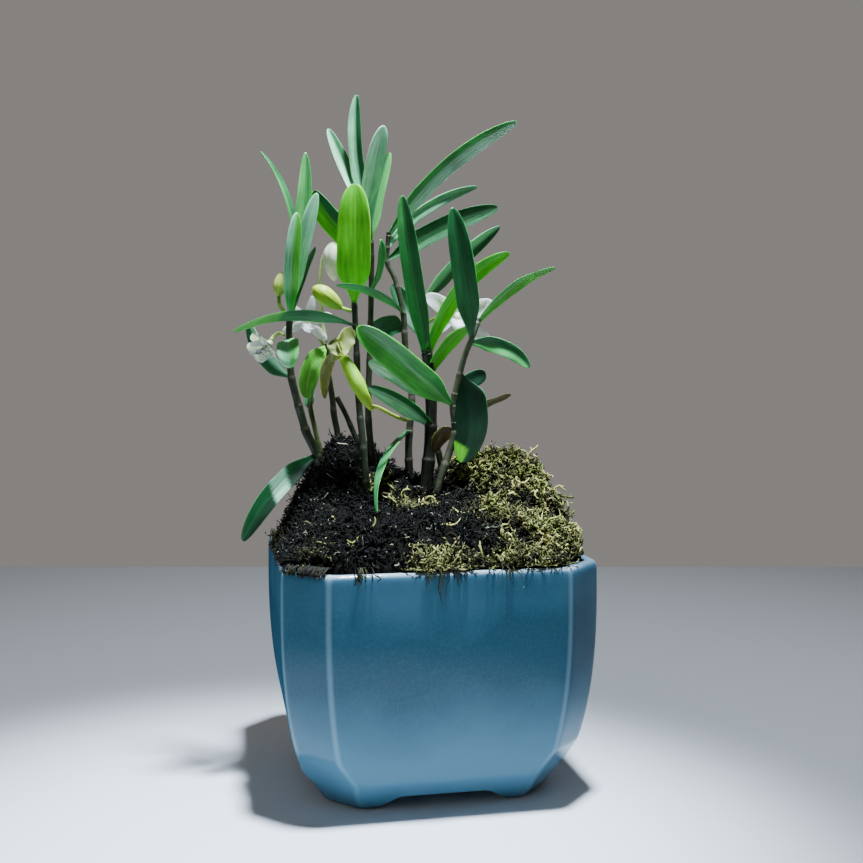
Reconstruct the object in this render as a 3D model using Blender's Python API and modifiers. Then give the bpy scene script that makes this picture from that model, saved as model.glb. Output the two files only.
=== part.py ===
"""A small dendrobium orchid in a square glazed pot with cut corners.

Lengths are millimetres until a mesh is made, where MM turns them into metres.
The plant is described on plant axes: x to the right, y away from its best side,
z up, all from the middle of the pot's underside. The pot is turned a little
against them, and at() puts a place on plant axes into the part's own frame.
"""
import math
import random
from collections import namedtuple

import bmesh
import bpy
from mathutils import Matrix, Vector
from mathutils.bvhtree import BVHTree

MM = 0.001
GAP = 0.3                       # air left between neighbours
SEED = 7
SMOOTH_ANGLE = math.radians(30) # edges sharper than this stay sharp in the shading

# The part's origin is on the floor under the middle of the whole plant, which leans left of its pot.
POT_AXIS = Vector((5.8, 1.4, 0.0))
PLANT_TURN = math.radians(-11.2)

# Pot
POT_HEIGHT = 68.0
CORNER_SHARE = 0.26             # leg of a cut corner, as a share of the half width
CORNER_CREASE = 16.0            # height where a corner's upright face ends
FOOT_HALF_WIDTH = 31.6
FOOT_CORNER_CUT = 8.0
POT_OUTSIDE = [                 # height, half width from flat side to axis
    (0.0, FOOT_HALF_WIDTH), (1.6, 33.3), (5.8, 35.9), (8.8, 38.7), (12.4, 39.8), (CORNER_CREASE, 40.9),
    (20.0, 41.9), (25.0, 42.9), (31.0, 43.8), (38.0, 44.5), (46.0, 45.0), (56.0, 45.1),
    (66.8, 45.0), (POT_HEIGHT, 44.2),
]
POT_FLOOR = 8.5
POT_INSIDE = [
    (POT_FLOOR, 34.0), (13.0, 36.6), (20.0, 38.6), (30.0, 40.4), (45.0, 41.6), (60.0, 41.7),
    (66.8, 41.7), (POT_HEIGHT, 42.2), (POT_HEIGHT + 2.0, 42.2),
]
ARCH_HEIGHT = 3.9
ARCH_TOP = 12.5                 # half width of the gap between two feet, at its roof
ARCH_FOOT = 18.5                # and on the floor
ARCH_REACH = 2.0                # how far its cutter goes below the floor
DRAIN_RADIUS = 5.0

# Growing medium and moss mound
MEDIUM_TOP = 61.0
MOUND_SIDES = 36
MOUND_RINGS = 13                # rings from the mound's middle to its edge
MOUND_HALF_WIDTH = 41.3         # clear of the pot's inner wall
MOUND_EDGE_HEIGHT = POT_HEIGHT + 0.4
MOUND_BASE_RISE = 13.0
MOUND_PEAKS = [                 # x, y, rise, spread
    (-24.0, 3.0, 20.5, 12.5), (24.0, 3.0, 18.5, 14.0), (39.0, -2.0, 9.0, 10.0),
]
EDGE_STEEPNESS = 8.0
STRAND_COUNT = 170
STRAND_LENGTHS = (3.5, 7.0)
STRAND_RADII = (0.6, 0.9)
STRAND_DEPTH = 1.8              # how deep its root is sunk
STRAND_RISE = 0.8               # of its tip above the mound's edge, to stay clear of the rim
STRAND_CLEARANCE = 2.6          # from a strand to the middle line of any cane or leaf
TUFT_COUNT = 12                 # sprigs that lie over the front rim
TUFT_SPAN = (-11.0, 4.5)
TUFT_ROOT_Y = -36.5
TUFT_TIP_Y = -46.5
TUFT_SPREAD = 1.6

# Canes and leaves
LEAF_THICKNESS = 0.7
LEAF_ROWS = 8
ROW_CROWDING = 1.25             # above 1, a blade's rows lie closer toward its tip
TIP_ROUNDING = 0.8              # how far a blade's end corners lie back, as a share of its half width
LEAF_FOLD = math.radians(16)
PETAL_THICKNESS = 0.8
PETAL_ROWS = 4
PETAL_ROOT = 1.4
PETAL_BOW = 0.06                # of its middle toward the viewer, as a share of the flower's size
LIP_WIDTH = 0.75                # as a share of its length
CANE_STEPS = 1                  # stretches of tube between two points of a cane
FOOT_DEPTH = 9.0                # how deep a cane stands below its first point
HOLE_ROOM = 0.4                 # a foot's hole is this much wider all round
HOLE_REACH = 26.0               # and goes this far up from its bottom, out of the mound

Cane = namedtuple("Cane", "name radius tip_radius points leaves")
# height on the cane, tip, width, turn about the leaf's own line from facing front, bow of its middle
Leaf = namedtuple("Leaf", "height tip width turn bow")
Tepal = namedtuple("Tepal", "angle length width lift")
Bloom = namedtuple("Bloom", "name stalk heart facing up size lip")
Bud = namedtuple("Bud", "name stalk base tip radius fullest")

CANES = [
    Cane("cane_outer_left", 1.6, 0.9, [
        (-28.0, -4.5, 89.0), (-32.3, -6.0, 98.9), (-34.2, -6.5, 102.9), (-35.6, -7.0, 107.7),
        (-37.7, -9.0, 116.6), (-38.5, -9.5, 121.4), (-38.9, -10.0, 132.3), (-38.6, -10.0, 137.2),
        (-38.2, -10.0, 142.5),
    ], [
        Leaf(141.0, (-47.5, -6.0, 186.5), 4.0, 72, (4.5, 0.0, 3.0)),
        Leaf(142.0, (-33.5, -12.0, 185.0), 4.8, 20, (1.0, -1.0, 0.0)),
        Leaf(140.0, (-30.0, -14.0, 173.0), 4.2, -10, (0.0, -1.0, 1.0)),
        Leaf(138.0, (-35.5, -17.0, 167.0), 4.4, 30, (-0.5, -2.0, 0.0)),
        Leaf(136.0, (-31.5, -6.0, 158.5), 4.0, 70, (-1.0, 0.0, 1.0)),
        Leaf(120.0, (-52.0, -2.0, 136.5), 5.5, -35, (-1.5, 0.0, -1.5)),
        Leaf(131.0, (-38.0, -16.0, 122.5), 6.0, 0, (0.0, -2.5, 1.0)),
        Leaf(96.5, (-52.0, -16.0, 72.0), 7.6, 0, (-1.5, -2.0, 2.0)),
    ]),
    Cane("cane_inner_left", 0.9, 0.7, [
        (-28.0, 1.0, 90.0), (-31.0, 1.0, 97.5), (-32.7, 1.0, 104.5), (-34.0, 2.0, 110.0),
        (-34.0, 3.0, 114.5), (-33.0, 4.0, 121.0),
    ], [
        Leaf(110.0, (-34.5, 7.0, 116.0), 3.2, 0, (0.0, 0.0, 0.0)),
    ]),
    Cane("cane_left_middle", 1.2, 0.8, [
        (-23.0, 2.0, 91.5), (-25.0, 3.0, 97.5), (-26.0, 4.0, 103.0), (-27.0, 4.0, 108.0),
        (-27.5, 4.0, 113.5), (-28.5, 3.0, 120.5), (-29.0, 2.0, 130.0),
    ], [
        Leaf(129.0, (-34.5, -4.0, 113.5), 5.6, -15, (-1.5, -2.0, 1.0)),
    ]),
    Cane("cane_crooked_bare", 0.95, 0.8, [
        (-15.5, 5.0, 88.5), (-19.0, 5.0, 97.5), (-21.5, 6.0, 103.5), (-24.0, 7.0, 109.0),
        (-26.5, 8.0, 113.5),
    ], []),
    Cane("cane_front", 1.15, 0.9, [
        (-15.0, -17.0, 81.5), (-16.0, -16.0, 90.0), (-17.0, -15.0, 101.5), (-18.0, -14.0, 110.5),
        (-18.5, -13.0, 119.0), (-19.0, -12.0, 130.5), (-19.5, -12.0, 141.5),
    ], [
        Leaf(141.0, (-19.0, -15.0, 175.5), 9.4, -12, (0.3, -1.0, 0.0)),
        Leaf(135.0, (-54.5, -15.5, 133.0), 5.0, 62, (0.0, -1.5, 4.5)),
    ]),
    Cane("cane_tall_left", 1.15, 0.75, [
        (-13.0, -6.0, 86.0), (-15.0, -5.0, 98.0), (-16.0, -4.0, 110.0), (-15.5, -3.0, 128.0),
        (-15.0, -3.0, 147.5), (-15.0, -3.0, 159.5), (-16.5, -2.0, 171.5),
    ], [
        Leaf(169.5, (-28.5, 5.0, 195.5), 4.0, 15, (-0.3, 0.0, -0.5)),
        Leaf(171.0, (-19.5, 2.0, 205.0), 4.4, -25, (-1.5, 0.0, 0.0)),
        Leaf(170.5, (-10.8, -9.0, 193.3), 5.0, 20, (-0.5, -1.5, 0.5)),
        Leaf(160.0, (-9.5, 1.0, 187.5), 4.6, -30, (-0.5, 0.0, 0.0)),
        Leaf(156.5, (-31.8, -7.0, 174.8), 6.6, -20, (-2.0, -1.0, -0.5)),
        Leaf(146.0, (-12.0, -8.0, 160.5), 3.6, 60, (1.0, 0.0, 0.0)),
    ]),
    Cane("cane_tall_middle", 1.35, 0.75, [
        (-3.5, 3.0, 84.5), (-4.0, 3.0, 99.0), (-3.0, 3.0, 114.5), (-5.0, 3.0, 129.5),
        (-5.5, 3.0, 139.0), (-8.0, 4.0, 149.5), (-10.5, 4.0, 155.0), (-10.0, 4.0, 164.0),
    ], [
        Leaf(163.0, (29.0, 2.0, 197.0), 4.8, 25, (-2.5, 0.0, 3.0)),
        Leaf(159.5, (17.5, 14.0, 179.5), 3.2, 20, (-2.0, 0.0, 2.5)),
        Leaf(155.5, (23.5, 7.0, 172.0), 5.6, 10, (-1.0, 0.0, 1.5)),
        Leaf(139.5, (-24.0, -21.0, 146.0), 3.6, 65, (1.0, -6.5, 2.0)),
        Leaf(134.0, (-16.0, 10.0, 131.5), 7.0, 10, (0.0, 1.0, 2.0)),
        Leaf(103.5, (-12.0, -31.0, 82.0), 4.5, 55, (-4.0, -4.0, 2.0)),
    ]),
    Cane("cane_old_middle", 2.2, 1.6, [
        (1.0, -3.0, 84.0), (2.5, -2.0, 98.0), (3.0, -2.0, 110.0), (2.5, -2.0, 120.5),
        (1.5, -3.0, 128.0),
    ], [
        Leaf(127.5, (-5.5, -10.0, 173.0), 5.4, -5, (-0.5, -1.0, 0.0)),
        Leaf(127.0, (26.5, -3.0, 157.0), 5.2, 35, (-2.5, 0.0, 4.5)),
        Leaf(121.5, (14.5, -3.0, 135.0), 4.6, 40, (-1.0, 0.0, 1.5)),
        Leaf(114.0, (-15.5, -10.0, 124.5), 5.6, -30, (0.0, -1.0, 1.0)),
        Leaf(105.5, (-15.5, -9.0, 117.0), 5.6, -35, (0.0, -1.0, 1.5)),
    ]),
    Cane("cane_back_right", 1.1, 0.8, [
        (7.0, 11.0, 87.5), (4.5, 12.0, 100.0), (2.5, 12.0, 112.5), (1.0, 12.0, 130.0),
        (0.0, 11.0, 143.0),
    ], [
        Leaf(142.5, (24.5, 13.0, 167.0), 4.6, 30, (-1.0, 0.0, 1.0)),
        Leaf(131.0, (-9.5, 20.0, 149.5), 5.0, 0, (0.0, 1.0, 1.0)),
    ]),
    Cane("cane_right", 1.4, 0.8, [
        (4.0, -11.0, 84.0), (6.5, -10.0, 92.5), (8.5, -9.0, 98.0), (10.0, -9.0, 104.0),
        (9.5, -9.0, 111.5), (11.0, -9.0, 119.0), (13.0, -9.0, 126.5), (15.5, -9.0, 132.5),
        (17.0, -8.0, 137.0),
    ], [
        Leaf(131.0, (9.0, -16.0, 168.5), 6.4, 8, (0.5, -1.0, 0.0)),
        Leaf(136.0, (40.0, -5.0, 152.5), 4.2, 50, (-1.0, 0.0, 2.5)),
        Leaf(130.0, (31.5, -14.0, 122.5), 5.0, 0, (1.5, 0.0, 2.0)),
        Leaf(111.5, (-18.0, -23.0, 134.0), 7.8, -10, (0.0, -2.5, 0.5)),
        Leaf(121.0, (11.8, -10.5, 94.5), 9.6, 10, (3.2, 0.5, 0.0)),
        Leaf(115.0, (19.5, -1.0, 120.5), 4.4, 0, (0.0, 0.0, 1.0)),
        Leaf(106.5, (27.5, 3.0, 114.5), 3.4, 50, (0.0, 1.5, 1.0)),
        Leaf(104.0, (4.0, -6.0, 97.5), 4.0, 0, (-1.0, 0.0, 1.5)),
    ]),
]

FIVE_TEPALS = [                 # three sepals and two broader petals round the lip
    Tepal(90, 1.0, 0.34, 0.10), Tepal(212, 1.0, 0.36, 0.05), Tepal(328, 1.0, 0.36, 0.05),
    Tepal(28, 0.95, 0.42, 0.20), Tepal(152, 0.95, 0.42, 0.20),
]
# stalk points from the cane outward, heart of the flower, where it faces, its top, size, lip length
BLOOMS = [
    Bloom("white_right", [(1.9, 11.0, 137.0), (4.5, 9.8, 138.2), (8.0, 8.0, 138.8)],
          (11.0, 4.5, 138.0), (0.1, -1.0, 0.05), (0.1, 0.0, 1.0), 12.5, 7.0),
    Bloom("white_left", [(-28.8, 4.7, 122.5), (-29.9, 6.5, 127.5), (-32.0, 6.2, 132.5), (-33.6, 3.6, 135.6)],
          (-34.5, -1.5, 136.5), (0.25, -1.0, -0.1), (0.2, 0.0, 1.0), 8.0, 4.5),
    Bloom("half_open", [(-40.3, -9.9, 132.0), (-41.8, -9.6, 132.9), (-43.4, -9.6, 132.0)],
          (-44.8, -11.0, 129.6), (-0.5, -0.8, -0.5), (-0.4, 0.0, 1.0), 5.6, 3.6),
]
STALK_RADIUS = 0.55
STALK_STEPS = 2
HEART_SHARE = 0.16              # radius of a flower's heart, as a share of its size

STALK_INSIDE = 0.2              # how far a bud's stalk runs up inside it
BUD_RINGS = (0.0, 0.12, 0.3, 0.5, 0.7, 0.88, 1.0)
BUD_END_RADIUS = 0.35
BUDS = [
    Bud("bud_yellow_green", [(-20.7, -10.9, 139.3), (-22.2, -9.6, 139.8), (-23.6, -8.7, 140.3)],
        (-23.2, -8.9, 140.1), (-32.0, -8.5, 146.5), 2.8, 0.62),
    Bud("bud_hooded", [(-29.1, 2.1, 130.5), (-30.6, 3.8, 138.0), (-31.2, 4.0, 148.5),
                       (-30.2, 3.6, 156.0), (-27.6, 3.0, 159.4)],
        (-27.0, 3.0, 161.0), (-26.6, 3.0, 149.0), 3.3, 0.38),
    Bud("bud_small_left", [(-39.8, -9.0, 138.4), (-41.8, -8.0, 141.0), (-42.2, -7.5, 144.0)],
        (-42.2, -7.5, 143.4), (-41.4, -7.0, 151.0), 2.0, 0.45),
]

# The fading flower hangs in front: a green chin, and limp sepals and petals from its mouth.
FADED_STALK = [(-3.6, 1.2, 107.0), (-5.0, -4.0, 107.0), (-8.0, -11.0, 108.5), (-12.0, -18.0, 111.0)]
FADED_CHIN = [(-13.8, -20.2, 110.6), (-14.8, -20.0, 111.8), (-16.4, -19.4, 114.6), (-19.0, -18.0, 119.5),
              (-22.3, -16.2, 125.5)]
FADED_CHIN_RADII = [0.7, 1.7, 2.2, 2.0, 1.4]
FADED_TEPALS = [                # tip, width, turn, bow
    ((-20.6, -13.0, 134.4), 5.4, 10, (-0.5, 0.5, 0.0)),
    ((-28.2, -12.5, 113.5), 3.6, -10, (-1.8, 1.0, 4.5)),
    ((-26.0, -13.0, 130.5), 4.4, 0, (-0.5, 0.0, 0.5)),
]

# sRGB colours and roughness of each kind of piece
LOOKS = {
    "glaze": ((0.24, 0.42, 0.52), 0.12),
    "bark": ((0.16, 0.12, 0.09), 0.95),
    "moss": ((0.34, 0.36, 0.15), 0.95),
    "leaf": ((0.13, 0.42, 0.19), 0.40),
    "cane": ((0.30, 0.31, 0.19), 0.60),
    "petal": ((0.93, 0.94, 0.86), 0.50),
    "stalk": ((0.45, 0.58, 0.24), 0.50),
    "bud": ((0.66, 0.76, 0.28), 0.45),
    "faded": ((0.52, 0.58, 0.30), 0.60),
}


def turned(offset):
    """Turns an offset on plant axes onto the part's axes."""
    return Matrix.Rotation(PLANT_TURN, 3, "Z") @ Vector(offset)


def at(point):
    """Turns a place on plant axes into the part's frame, still in millimetres."""
    return turned(point) + POT_AXIS


def toward(direction):
    """Turns a direction on plant axes into the part's frame, with length one."""
    return turned(direction).normalized()


def linear(value):
    """sRGB channel to linear."""
    return value / 12.92 if value <= 0.04045 else ((value + 0.055) / 1.055) ** 2.4


def material(look):
    """The material of one kind of piece, made on first use."""
    if look in bpy.data.materials:
        return bpy.data.materials[look]
    colour, roughness = LOOKS[look]
    made = bpy.data.materials.new(look)
    made.use_nodes = True
    shader = made.node_tree.nodes["Principled BSDF"]
    shader.inputs["Base Color"].default_value = (*[linear(part) for part in colour], 1)
    shader.inputs["Roughness"].default_value = roughness
    return made


def place(name, mesh, look, collection):
    """An object in a collection, with its kind's material."""
    made = bpy.data.objects.new(name, mesh)
    if look:
        mesh.materials.clear()
        mesh.materials.append(material(look))
    collection.objects.link(made)
    return made


def finish(bm, name):
    """Turns a bmesh in millimetres into a mesh in metres with outward faces."""
    bmesh.ops.recalc_face_normals(bm, faces=bm.faces)
    bmesh.ops.scale(bm, vec=(MM, MM, MM), verts=bm.verts)
    mesh = bpy.data.meshes.new(name)
    bm.to_mesh(mesh)
    bm.free()
    return mesh


def evaluated_mesh(thing):
    """The mesh of an object as its modifiers leave it."""
    graph = bpy.context.evaluated_depsgraph_get()
    return bpy.data.meshes.new_from_object(thing.evaluated_get(graph))


def remove(things):
    """Takes objects out of the file."""
    for thing in things:
        bpy.data.objects.remove(thing)


def apply_boolean(body, pieces, operation):
    """Joins or cuts a body with a collection of closed pieces, in place, and removes the pieces."""
    group = bpy.data.collections.new("tools")
    bpy.context.scene.collection.children.link(group)
    for piece in pieces:
        group.objects.link(piece)
    step = body.modifiers.new(operation.lower(), "BOOLEAN")
    step.operation = operation
    step.operand_type = "COLLECTION"
    step.collection = group
    step.solver = "EXACT"
    result = evaluated_mesh(body)
    body.modifiers.remove(step)
    look = body.data.materials[0]
    body.data = result
    result.materials.clear()
    result.materials.append(look)
    remove(pieces)
    bpy.data.collections.remove(group)


def eight_sided(name, sections, centre):
    """A closed solid through chamfered squares, each (height, half width, corner cut), from the bottom up."""
    def outline(height, half, cut):
        near = half - cut
        corners = [(half, -near), (half, near), (near, half), (-near, half),
                   (-half, near), (-half, -near), (-near, -half), (near, -half)]
        return [Vector((x, y, height)) + centre for x, y in corners]

    bm = bmesh.new()
    ring = bmesh.ops.create_circle(bm, cap_ends=True, segments=8, radius=1)["verts"]
    before = outline(*sections[0])
    for vert, corner in zip(ring, before):
        vert.co = corner
    bottom = cap = bm.faces[:][0]
    for section in sections[1:]:
        after = outline(*section)
        new = bmesh.ops.extrude_face_region(bm, geom=[cap])["geom"]
        if cap != bottom:
            bmesh.ops.delete(bm, geom=[cap], context="FACES_ONLY")
        cap = next(item for item in new if isinstance(item, bmesh.types.BMFace))
        for vert in cap.verts:
            nearest = min(range(8), key=lambda i: (vert.co - before[i]).length)
            vert.co = after[nearest]
        before = after
    return finish(bm, name)


def corner_cut(height, half):
    """Leg of the cut corner: a share of the width, and below the crease one slanted plane."""
    if height >= CORNER_CREASE:
        return CORNER_SHARE * half
    crease_half = dict(POT_OUTSIDE)[CORNER_CREASE]
    top = (2 - CORNER_SHARE) * crease_half
    bottom = 2 * FOOT_HALF_WIDTH - FOOT_CORNER_CUT
    return 2 * half - (bottom + (top - bottom) * height / CORNER_CREASE)


def cut_with(body, cutter, name):
    """A live Boolean cut of a body by a hidden cutter."""
    cutter.hide_render = True
    cutter.display_type = "WIRE"
    step = body.modifiers.new(name, "BOOLEAN")
    step.operation = "DIFFERENCE"
    step.object = cutter
    step.solver = "EXACT"


def arch_cutter(name, turned, cutters):
    """A bar with slanted sides that opens the gap between the feet of two opposite sides."""
    bm = bmesh.new()
    bmesh.ops.create_cube(bm, size=2)
    slope = (ARCH_FOOT - ARCH_TOP) / ARCH_HEIGHT
    for vert in bm.verts:
        above = vert.co.z > 0
        height = ARCH_HEIGHT if above else -ARCH_REACH
        half = ARCH_FOOT - slope * height
        vert.co = Vector((vert.co.x * half, vert.co.y * POT_HEIGHT, height))
    if turned:
        bmesh.ops.rotate(bm, cent=(0, 0, 0), matrix=Matrix.Rotation(math.pi / 2, 3, "Z"), verts=bm.verts)
    bmesh.ops.translate(bm, vec=POT_AXIS, verts=bm.verts)
    return place(name, finish(bm, name), None, cutters)


def make_pot(plant, cutters):
    """The glazed pot: one shell with its hollow, drain hole and four feet."""
    outside = [(height, half, corner_cut(height, half)) for height, half in POT_OUTSIDE]
    inside = [(height, half, CORNER_SHARE * half) for height, half in POT_INSIDE]
    pot = place("pot", eight_sided("pot", outside, POT_AXIS), "glaze", plant)
    hollow = place("cut_hollow", eight_sided("cut_hollow", inside, POT_AXIS), None, cutters)
    cut_with(pot, hollow, "hollow")
    for turned in (False, True):
        arch = arch_cutter(f"cut_arch_{int(turned)}", turned, cutters)
        cut_with(pot, arch, arch.name)
    bm = bmesh.new()
    bmesh.ops.create_cone(bm, cap_ends=True, segments=16, radius1=DRAIN_RADIUS, radius2=DRAIN_RADIUS,
                          depth=4 * POT_FLOOR, matrix=Matrix.Translation(POT_AXIS))
    drain = place("cut_drain", finish(bm, "cut_drain"), None, cutters)
    cut_with(pot, drain, "drain")


def make_medium(plant):
    """The fill of the pot, just clear of its walls and floor."""
    levels = [(height, half) for height, half in POT_INSIDE if POT_FLOOR < height < MEDIUM_TOP]
    levels = [(POT_FLOOR + GAP, POT_INSIDE[0][1])] + levels + [(MEDIUM_TOP, levels[-1][1])]
    sections = [(height, half - 2 * GAP, CORNER_SHARE * half) for height, half in levels]
    place("growing_medium", eight_sided("growing_medium", sections, POT_AXIS), "bark", plant)


def ripple(x, y):
    """The moss's clumps, up to two millimetres either way."""
    return (1.1 * math.sin(0.50 * x + 1.3) * math.cos(0.44 * y - 0.4)
            + 0.6 * math.sin(0.31 * x - 0.63 * y) + 0.4 * math.cos(0.77 * x + 0.36 * y))


def mound_height(x, y, reach):
    """Height of the mound at a place on plant axes, reach being 0 in its middle and 1 at its edge."""
    rise = MOUND_BASE_RISE
    for peak_x, peak_y, peak_rise, spread in MOUND_PEAKS:
        away = (x - peak_x) ** 2 + (y - peak_y) ** 2
        rise += peak_rise * math.exp(-away / (2 * spread * spread))
    fade = 1 - reach ** EDGE_STEEPNESS
    return MOUND_EDGE_HEIGHT + fade * (rise + ripple(x, y))


def outline_reach(direction):
    """Distance from the axis to a chamfered square of half width one, along a pot direction."""
    across, along = abs(math.cos(direction)), abs(math.sin(direction))
    return 1 / max(across, along, (across + along) / (2 - CORNER_SHARE))


def plant_axes(point):
    """A place in the part's frame, back on plant axes."""
    return Matrix.Rotation(-PLANT_TURN, 3, "Z") @ (point - POT_AXIS)


def mound_point(direction, reach):
    """A point on the mound in the part's frame, by direction about the pot's axis and reach."""
    distance = reach * MOUND_HALF_WIDTH * outline_reach(direction)
    spot = Vector((distance * math.cos(direction), distance * math.sin(direction), 0)) + POT_AXIS
    on_plant = plant_axes(spot)
    spot.z = mound_height(on_plant.x, on_plant.y, reach)
    return spot


def mound_core():
    """The lumpy dome and the straight plug below it in the pot, as an unfinished mesh."""
    bm = bmesh.new()
    rings = MOUND_RINGS + 3
    bmesh.ops.create_uvsphere(bm, u_segments=MOUND_SIDES, v_segments=rings, radius=1)
    for vert in bm.verts:
        ring = round(math.acos(max(-1, min(1, vert.co.z))) / math.pi * rings)
        direction = math.atan2(vert.co.y, vert.co.x)
        vert.co = mound_point(direction, min(1, ring / MOUND_RINGS))
        if ring > MOUND_RINGS:
            inward = (ring - MOUND_RINGS - 1) / 2
            vert.co = vert.co.lerp(POT_AXIS, inward)
            vert.co.z = MEDIUM_TOP + GAP
    bmesh.ops.triangulate(bm, faces=bm.faces)
    bmesh.ops.recalc_face_normals(bm, faces=bm.faces)
    return bm


def strand(name, root, tip, radius, collection):
    """A three-sided tapering strand from its sunk root to its tip."""
    line = tip - root
    bm = bmesh.new()
    turn = line.to_track_quat("Z", "Y").to_matrix().to_4x4()
    bmesh.ops.create_cone(bm, cap_ends=True, segments=3, radius1=radius, radius2=0,
                          depth=line.length, matrix=Matrix.Translation((root + tip) / 2) @ turn)
    return place(name, finish(bm, name), None, collection)


def distance_to_path(point, path):
    """Shortest distance from a point to a line of points."""
    best = 1e9
    for start, end in zip(path, path[1:]):
        line = end - start
        share = max(0, min(1, (point - start).dot(line) / line.length_squared))
        best = min(best, (point - start - line * share).length)
    return best


def mound_strands(dome, keep_clear, collection):
    """Moss sprigs and root ends that stand out of the mound, evenly spread and seeded."""
    draw = random.Random(SEED)
    strands = []
    golden = math.pi * (3 - math.sqrt(5))
    for index in range(STRAND_COUNT):
        reach = math.sqrt((index + 0.5) / STRAND_COUNT) * 0.97
        direction = index * golden + draw.uniform(-0.1, 0.1)
        surface, normal = dome.find_nearest(mound_point(direction, reach))[:2]
        lean = Vector((draw.uniform(-1, 1), draw.uniform(-1, 1), draw.uniform(-0.6, 0.3)))
        length = draw.uniform(*STRAND_LENGTHS)
        away = (normal * 0.6 + lean).normalized()
        away = (away + normal * max(0, 0.5 - away.dot(normal))).normalized()
        tip = surface + away * length
        tip.z = max(tip.z, MOUND_EDGE_HEIGHT + STRAND_RISE)
        root = surface - away * STRAND_DEPTH
        probes = [surface.lerp(tip, share) for share in (0, 0.5, 1)]
        if any(distance_to_path(probe, path) < STRAND_CLEARANCE for path in keep_clear for probe in probes):
            continue
        strands.append(strand(f"strand_{index}", root, tip, draw.uniform(*STRAND_RADII), collection))
    return strands


def rim_tuft(dome, collection):
    """Sprigs at the front that lie over the pot's rim, clear of it."""
    draw = random.Random(SEED + 1)
    strands = []
    for index in range(TUFT_COUNT):
        across = TUFT_SPAN[0] + (TUFT_SPAN[1] - TUFT_SPAN[0]) * index / (TUFT_COUNT - 1)
        above = Vector((across, TUFT_ROOT_Y, 2 * POT_HEIGHT)) + POT_AXIS
        root = dome.ray_cast(above, Vector((0, 0, -1)))[0] - Vector((0, 0, STRAND_DEPTH))
        aside = draw.uniform(-TUFT_SPREAD, TUFT_SPREAD)
        rise = MOUND_EDGE_HEIGHT + STRAND_RISE * draw.uniform(0.8, 1.8)
        tip = Vector((across + aside, TUFT_TIP_Y - draw.uniform(0, TUFT_SPREAD), rise)) + POT_AXIS
        strands.append(strand(f"tuft_{index}", root, tip, STRAND_RADII[0], collection))
    return strands


def smooth_path(points, steps):
    """A Catmull-Rom line through points, with so many steps between two of them."""
    ends = [points[0] * 2 - points[1]] + list(points) + [points[-1] * 2 - points[-2]]
    path = []
    for before, start, end, after in zip(ends, ends[1:], ends[2:], ends[3:]):
        for step in range(steps):
            t = step / steps
            path.append(0.5 * (2 * start + (end - before) * t
                               + (2 * before - 5 * start + 4 * end - after) * t * t
                               + (3 * start - before - 3 * end + after) * t * t * t))
    path.append(points[-1])
    return path


def tube(name, path, radii, look, collection):
    """A closed tapering tube along a path, as a mesh."""
    curve = bpy.data.curves.new(name, "CURVE")
    curve.dimensions = "3D"
    curve.bevel_depth = MM
    curve.bevel_resolution = 1
    curve.use_fill_caps = True
    spline = curve.splines.new("POLY")
    spline.points.add(len(path) - 1)
    for point, spot, radius in zip(spline.points, path, radii):
        point.co = (*(spot * MM), 1)
        point.radius = radius
    guide = bpy.data.objects.new(name + "_curve", curve)
    bpy.context.scene.collection.objects.link(guide)
    bpy.context.view_layer.update()
    mesh = evaluated_mesh(guide)
    remove([guide])
    bm = bmesh.new()
    bm.from_mesh(mesh)
    bmesh.ops.remove_doubles(bm, verts=bm.verts, dist=0.01 * MM)
    bmesh.ops.recalc_face_normals(bm, faces=bm.faces)
    bm.to_mesh(mesh)
    bm.free()
    return place(name, mesh, look, collection)


def blade_width(along, width, root_width):
    """Width of a strap-shaped blade: narrow root, even middle, blunt round tip."""
    taper = math.sqrt(1 - (max(0, along - 0.5) / 0.515) ** 2.6)
    blend = min(1, along / 0.38)
    return root_width + (width * taper - root_width) * blend * blend * (3 - 2 * blend)


def bowed(root, tip, bow, share):
    """A point along a line whose middle is bowed aside, and the line's direction there."""
    handle = (root + tip) / 2 + bow * 2
    start, end = root.lerp(handle, share), handle.lerp(tip, share)
    return start.lerp(end, share), (end - start).normalized()


def blade(name, root, tip, bow, width, turn, thickness, rows, root_width, collection):
    """A folded leaf or petal of even thickness along a bowed line, as a solid mesh object."""
    bm = bmesh.new()
    bmesh.ops.create_grid(bm, x_segments=2, y_segments=rows, size=1)
    front = toward((0, -1, 0))
    for vert in bm.verts:
        side_share, along = vert.co.x, 1 - (0.5 - vert.co.y / 2) ** ROW_CROWDING
        centre, line = bowed(root, tip, bow, along)
        face = (front - line * front.dot(line)).normalized()
        face = Matrix.Rotation(math.radians(turn), 3, line) @ face
        side = line.cross(face)
        half = blade_width(along, width, root_width) / 2
        if vert.co.y > 0.999:
            centre -= line * abs(side_share) * half * TIP_ROUNDING
        vert.co = (centre + side * side_share * half * math.cos(LEAF_FOLD)
                   + face * abs(side_share) * half * math.sin(LEAF_FOLD))
    bmesh.ops.triangulate(bm, faces=bm.faces)
    made = place(name, finish(bm, name), None, collection)
    solid = made.modifiers.new("thickness", "SOLIDIFY")
    solid.thickness = thickness * MM
    solid.offset = 0
    mesh = evaluated_mesh(made)
    made.modifiers.clear()
    made.data = mesh
    return made


def cane_path(cane):
    """The cane's line in the part's frame, from its foot in the mound to its top."""
    points = [at(point) for point in cane.points]
    foot = points[0] + (points[0] - points[1]).normalized() * FOOT_DEPTH
    return smooth_path([foot] + points, CANE_STEPS)


def point_at_height(path, height):
    """Where a rising path reaches a height."""
    for start, end in zip(path, path[1:]):
        if start.z <= height <= end.z:
            return start.lerp(end, (height - start.z) / (end.z - start.z))
    return path[-1]


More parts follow.
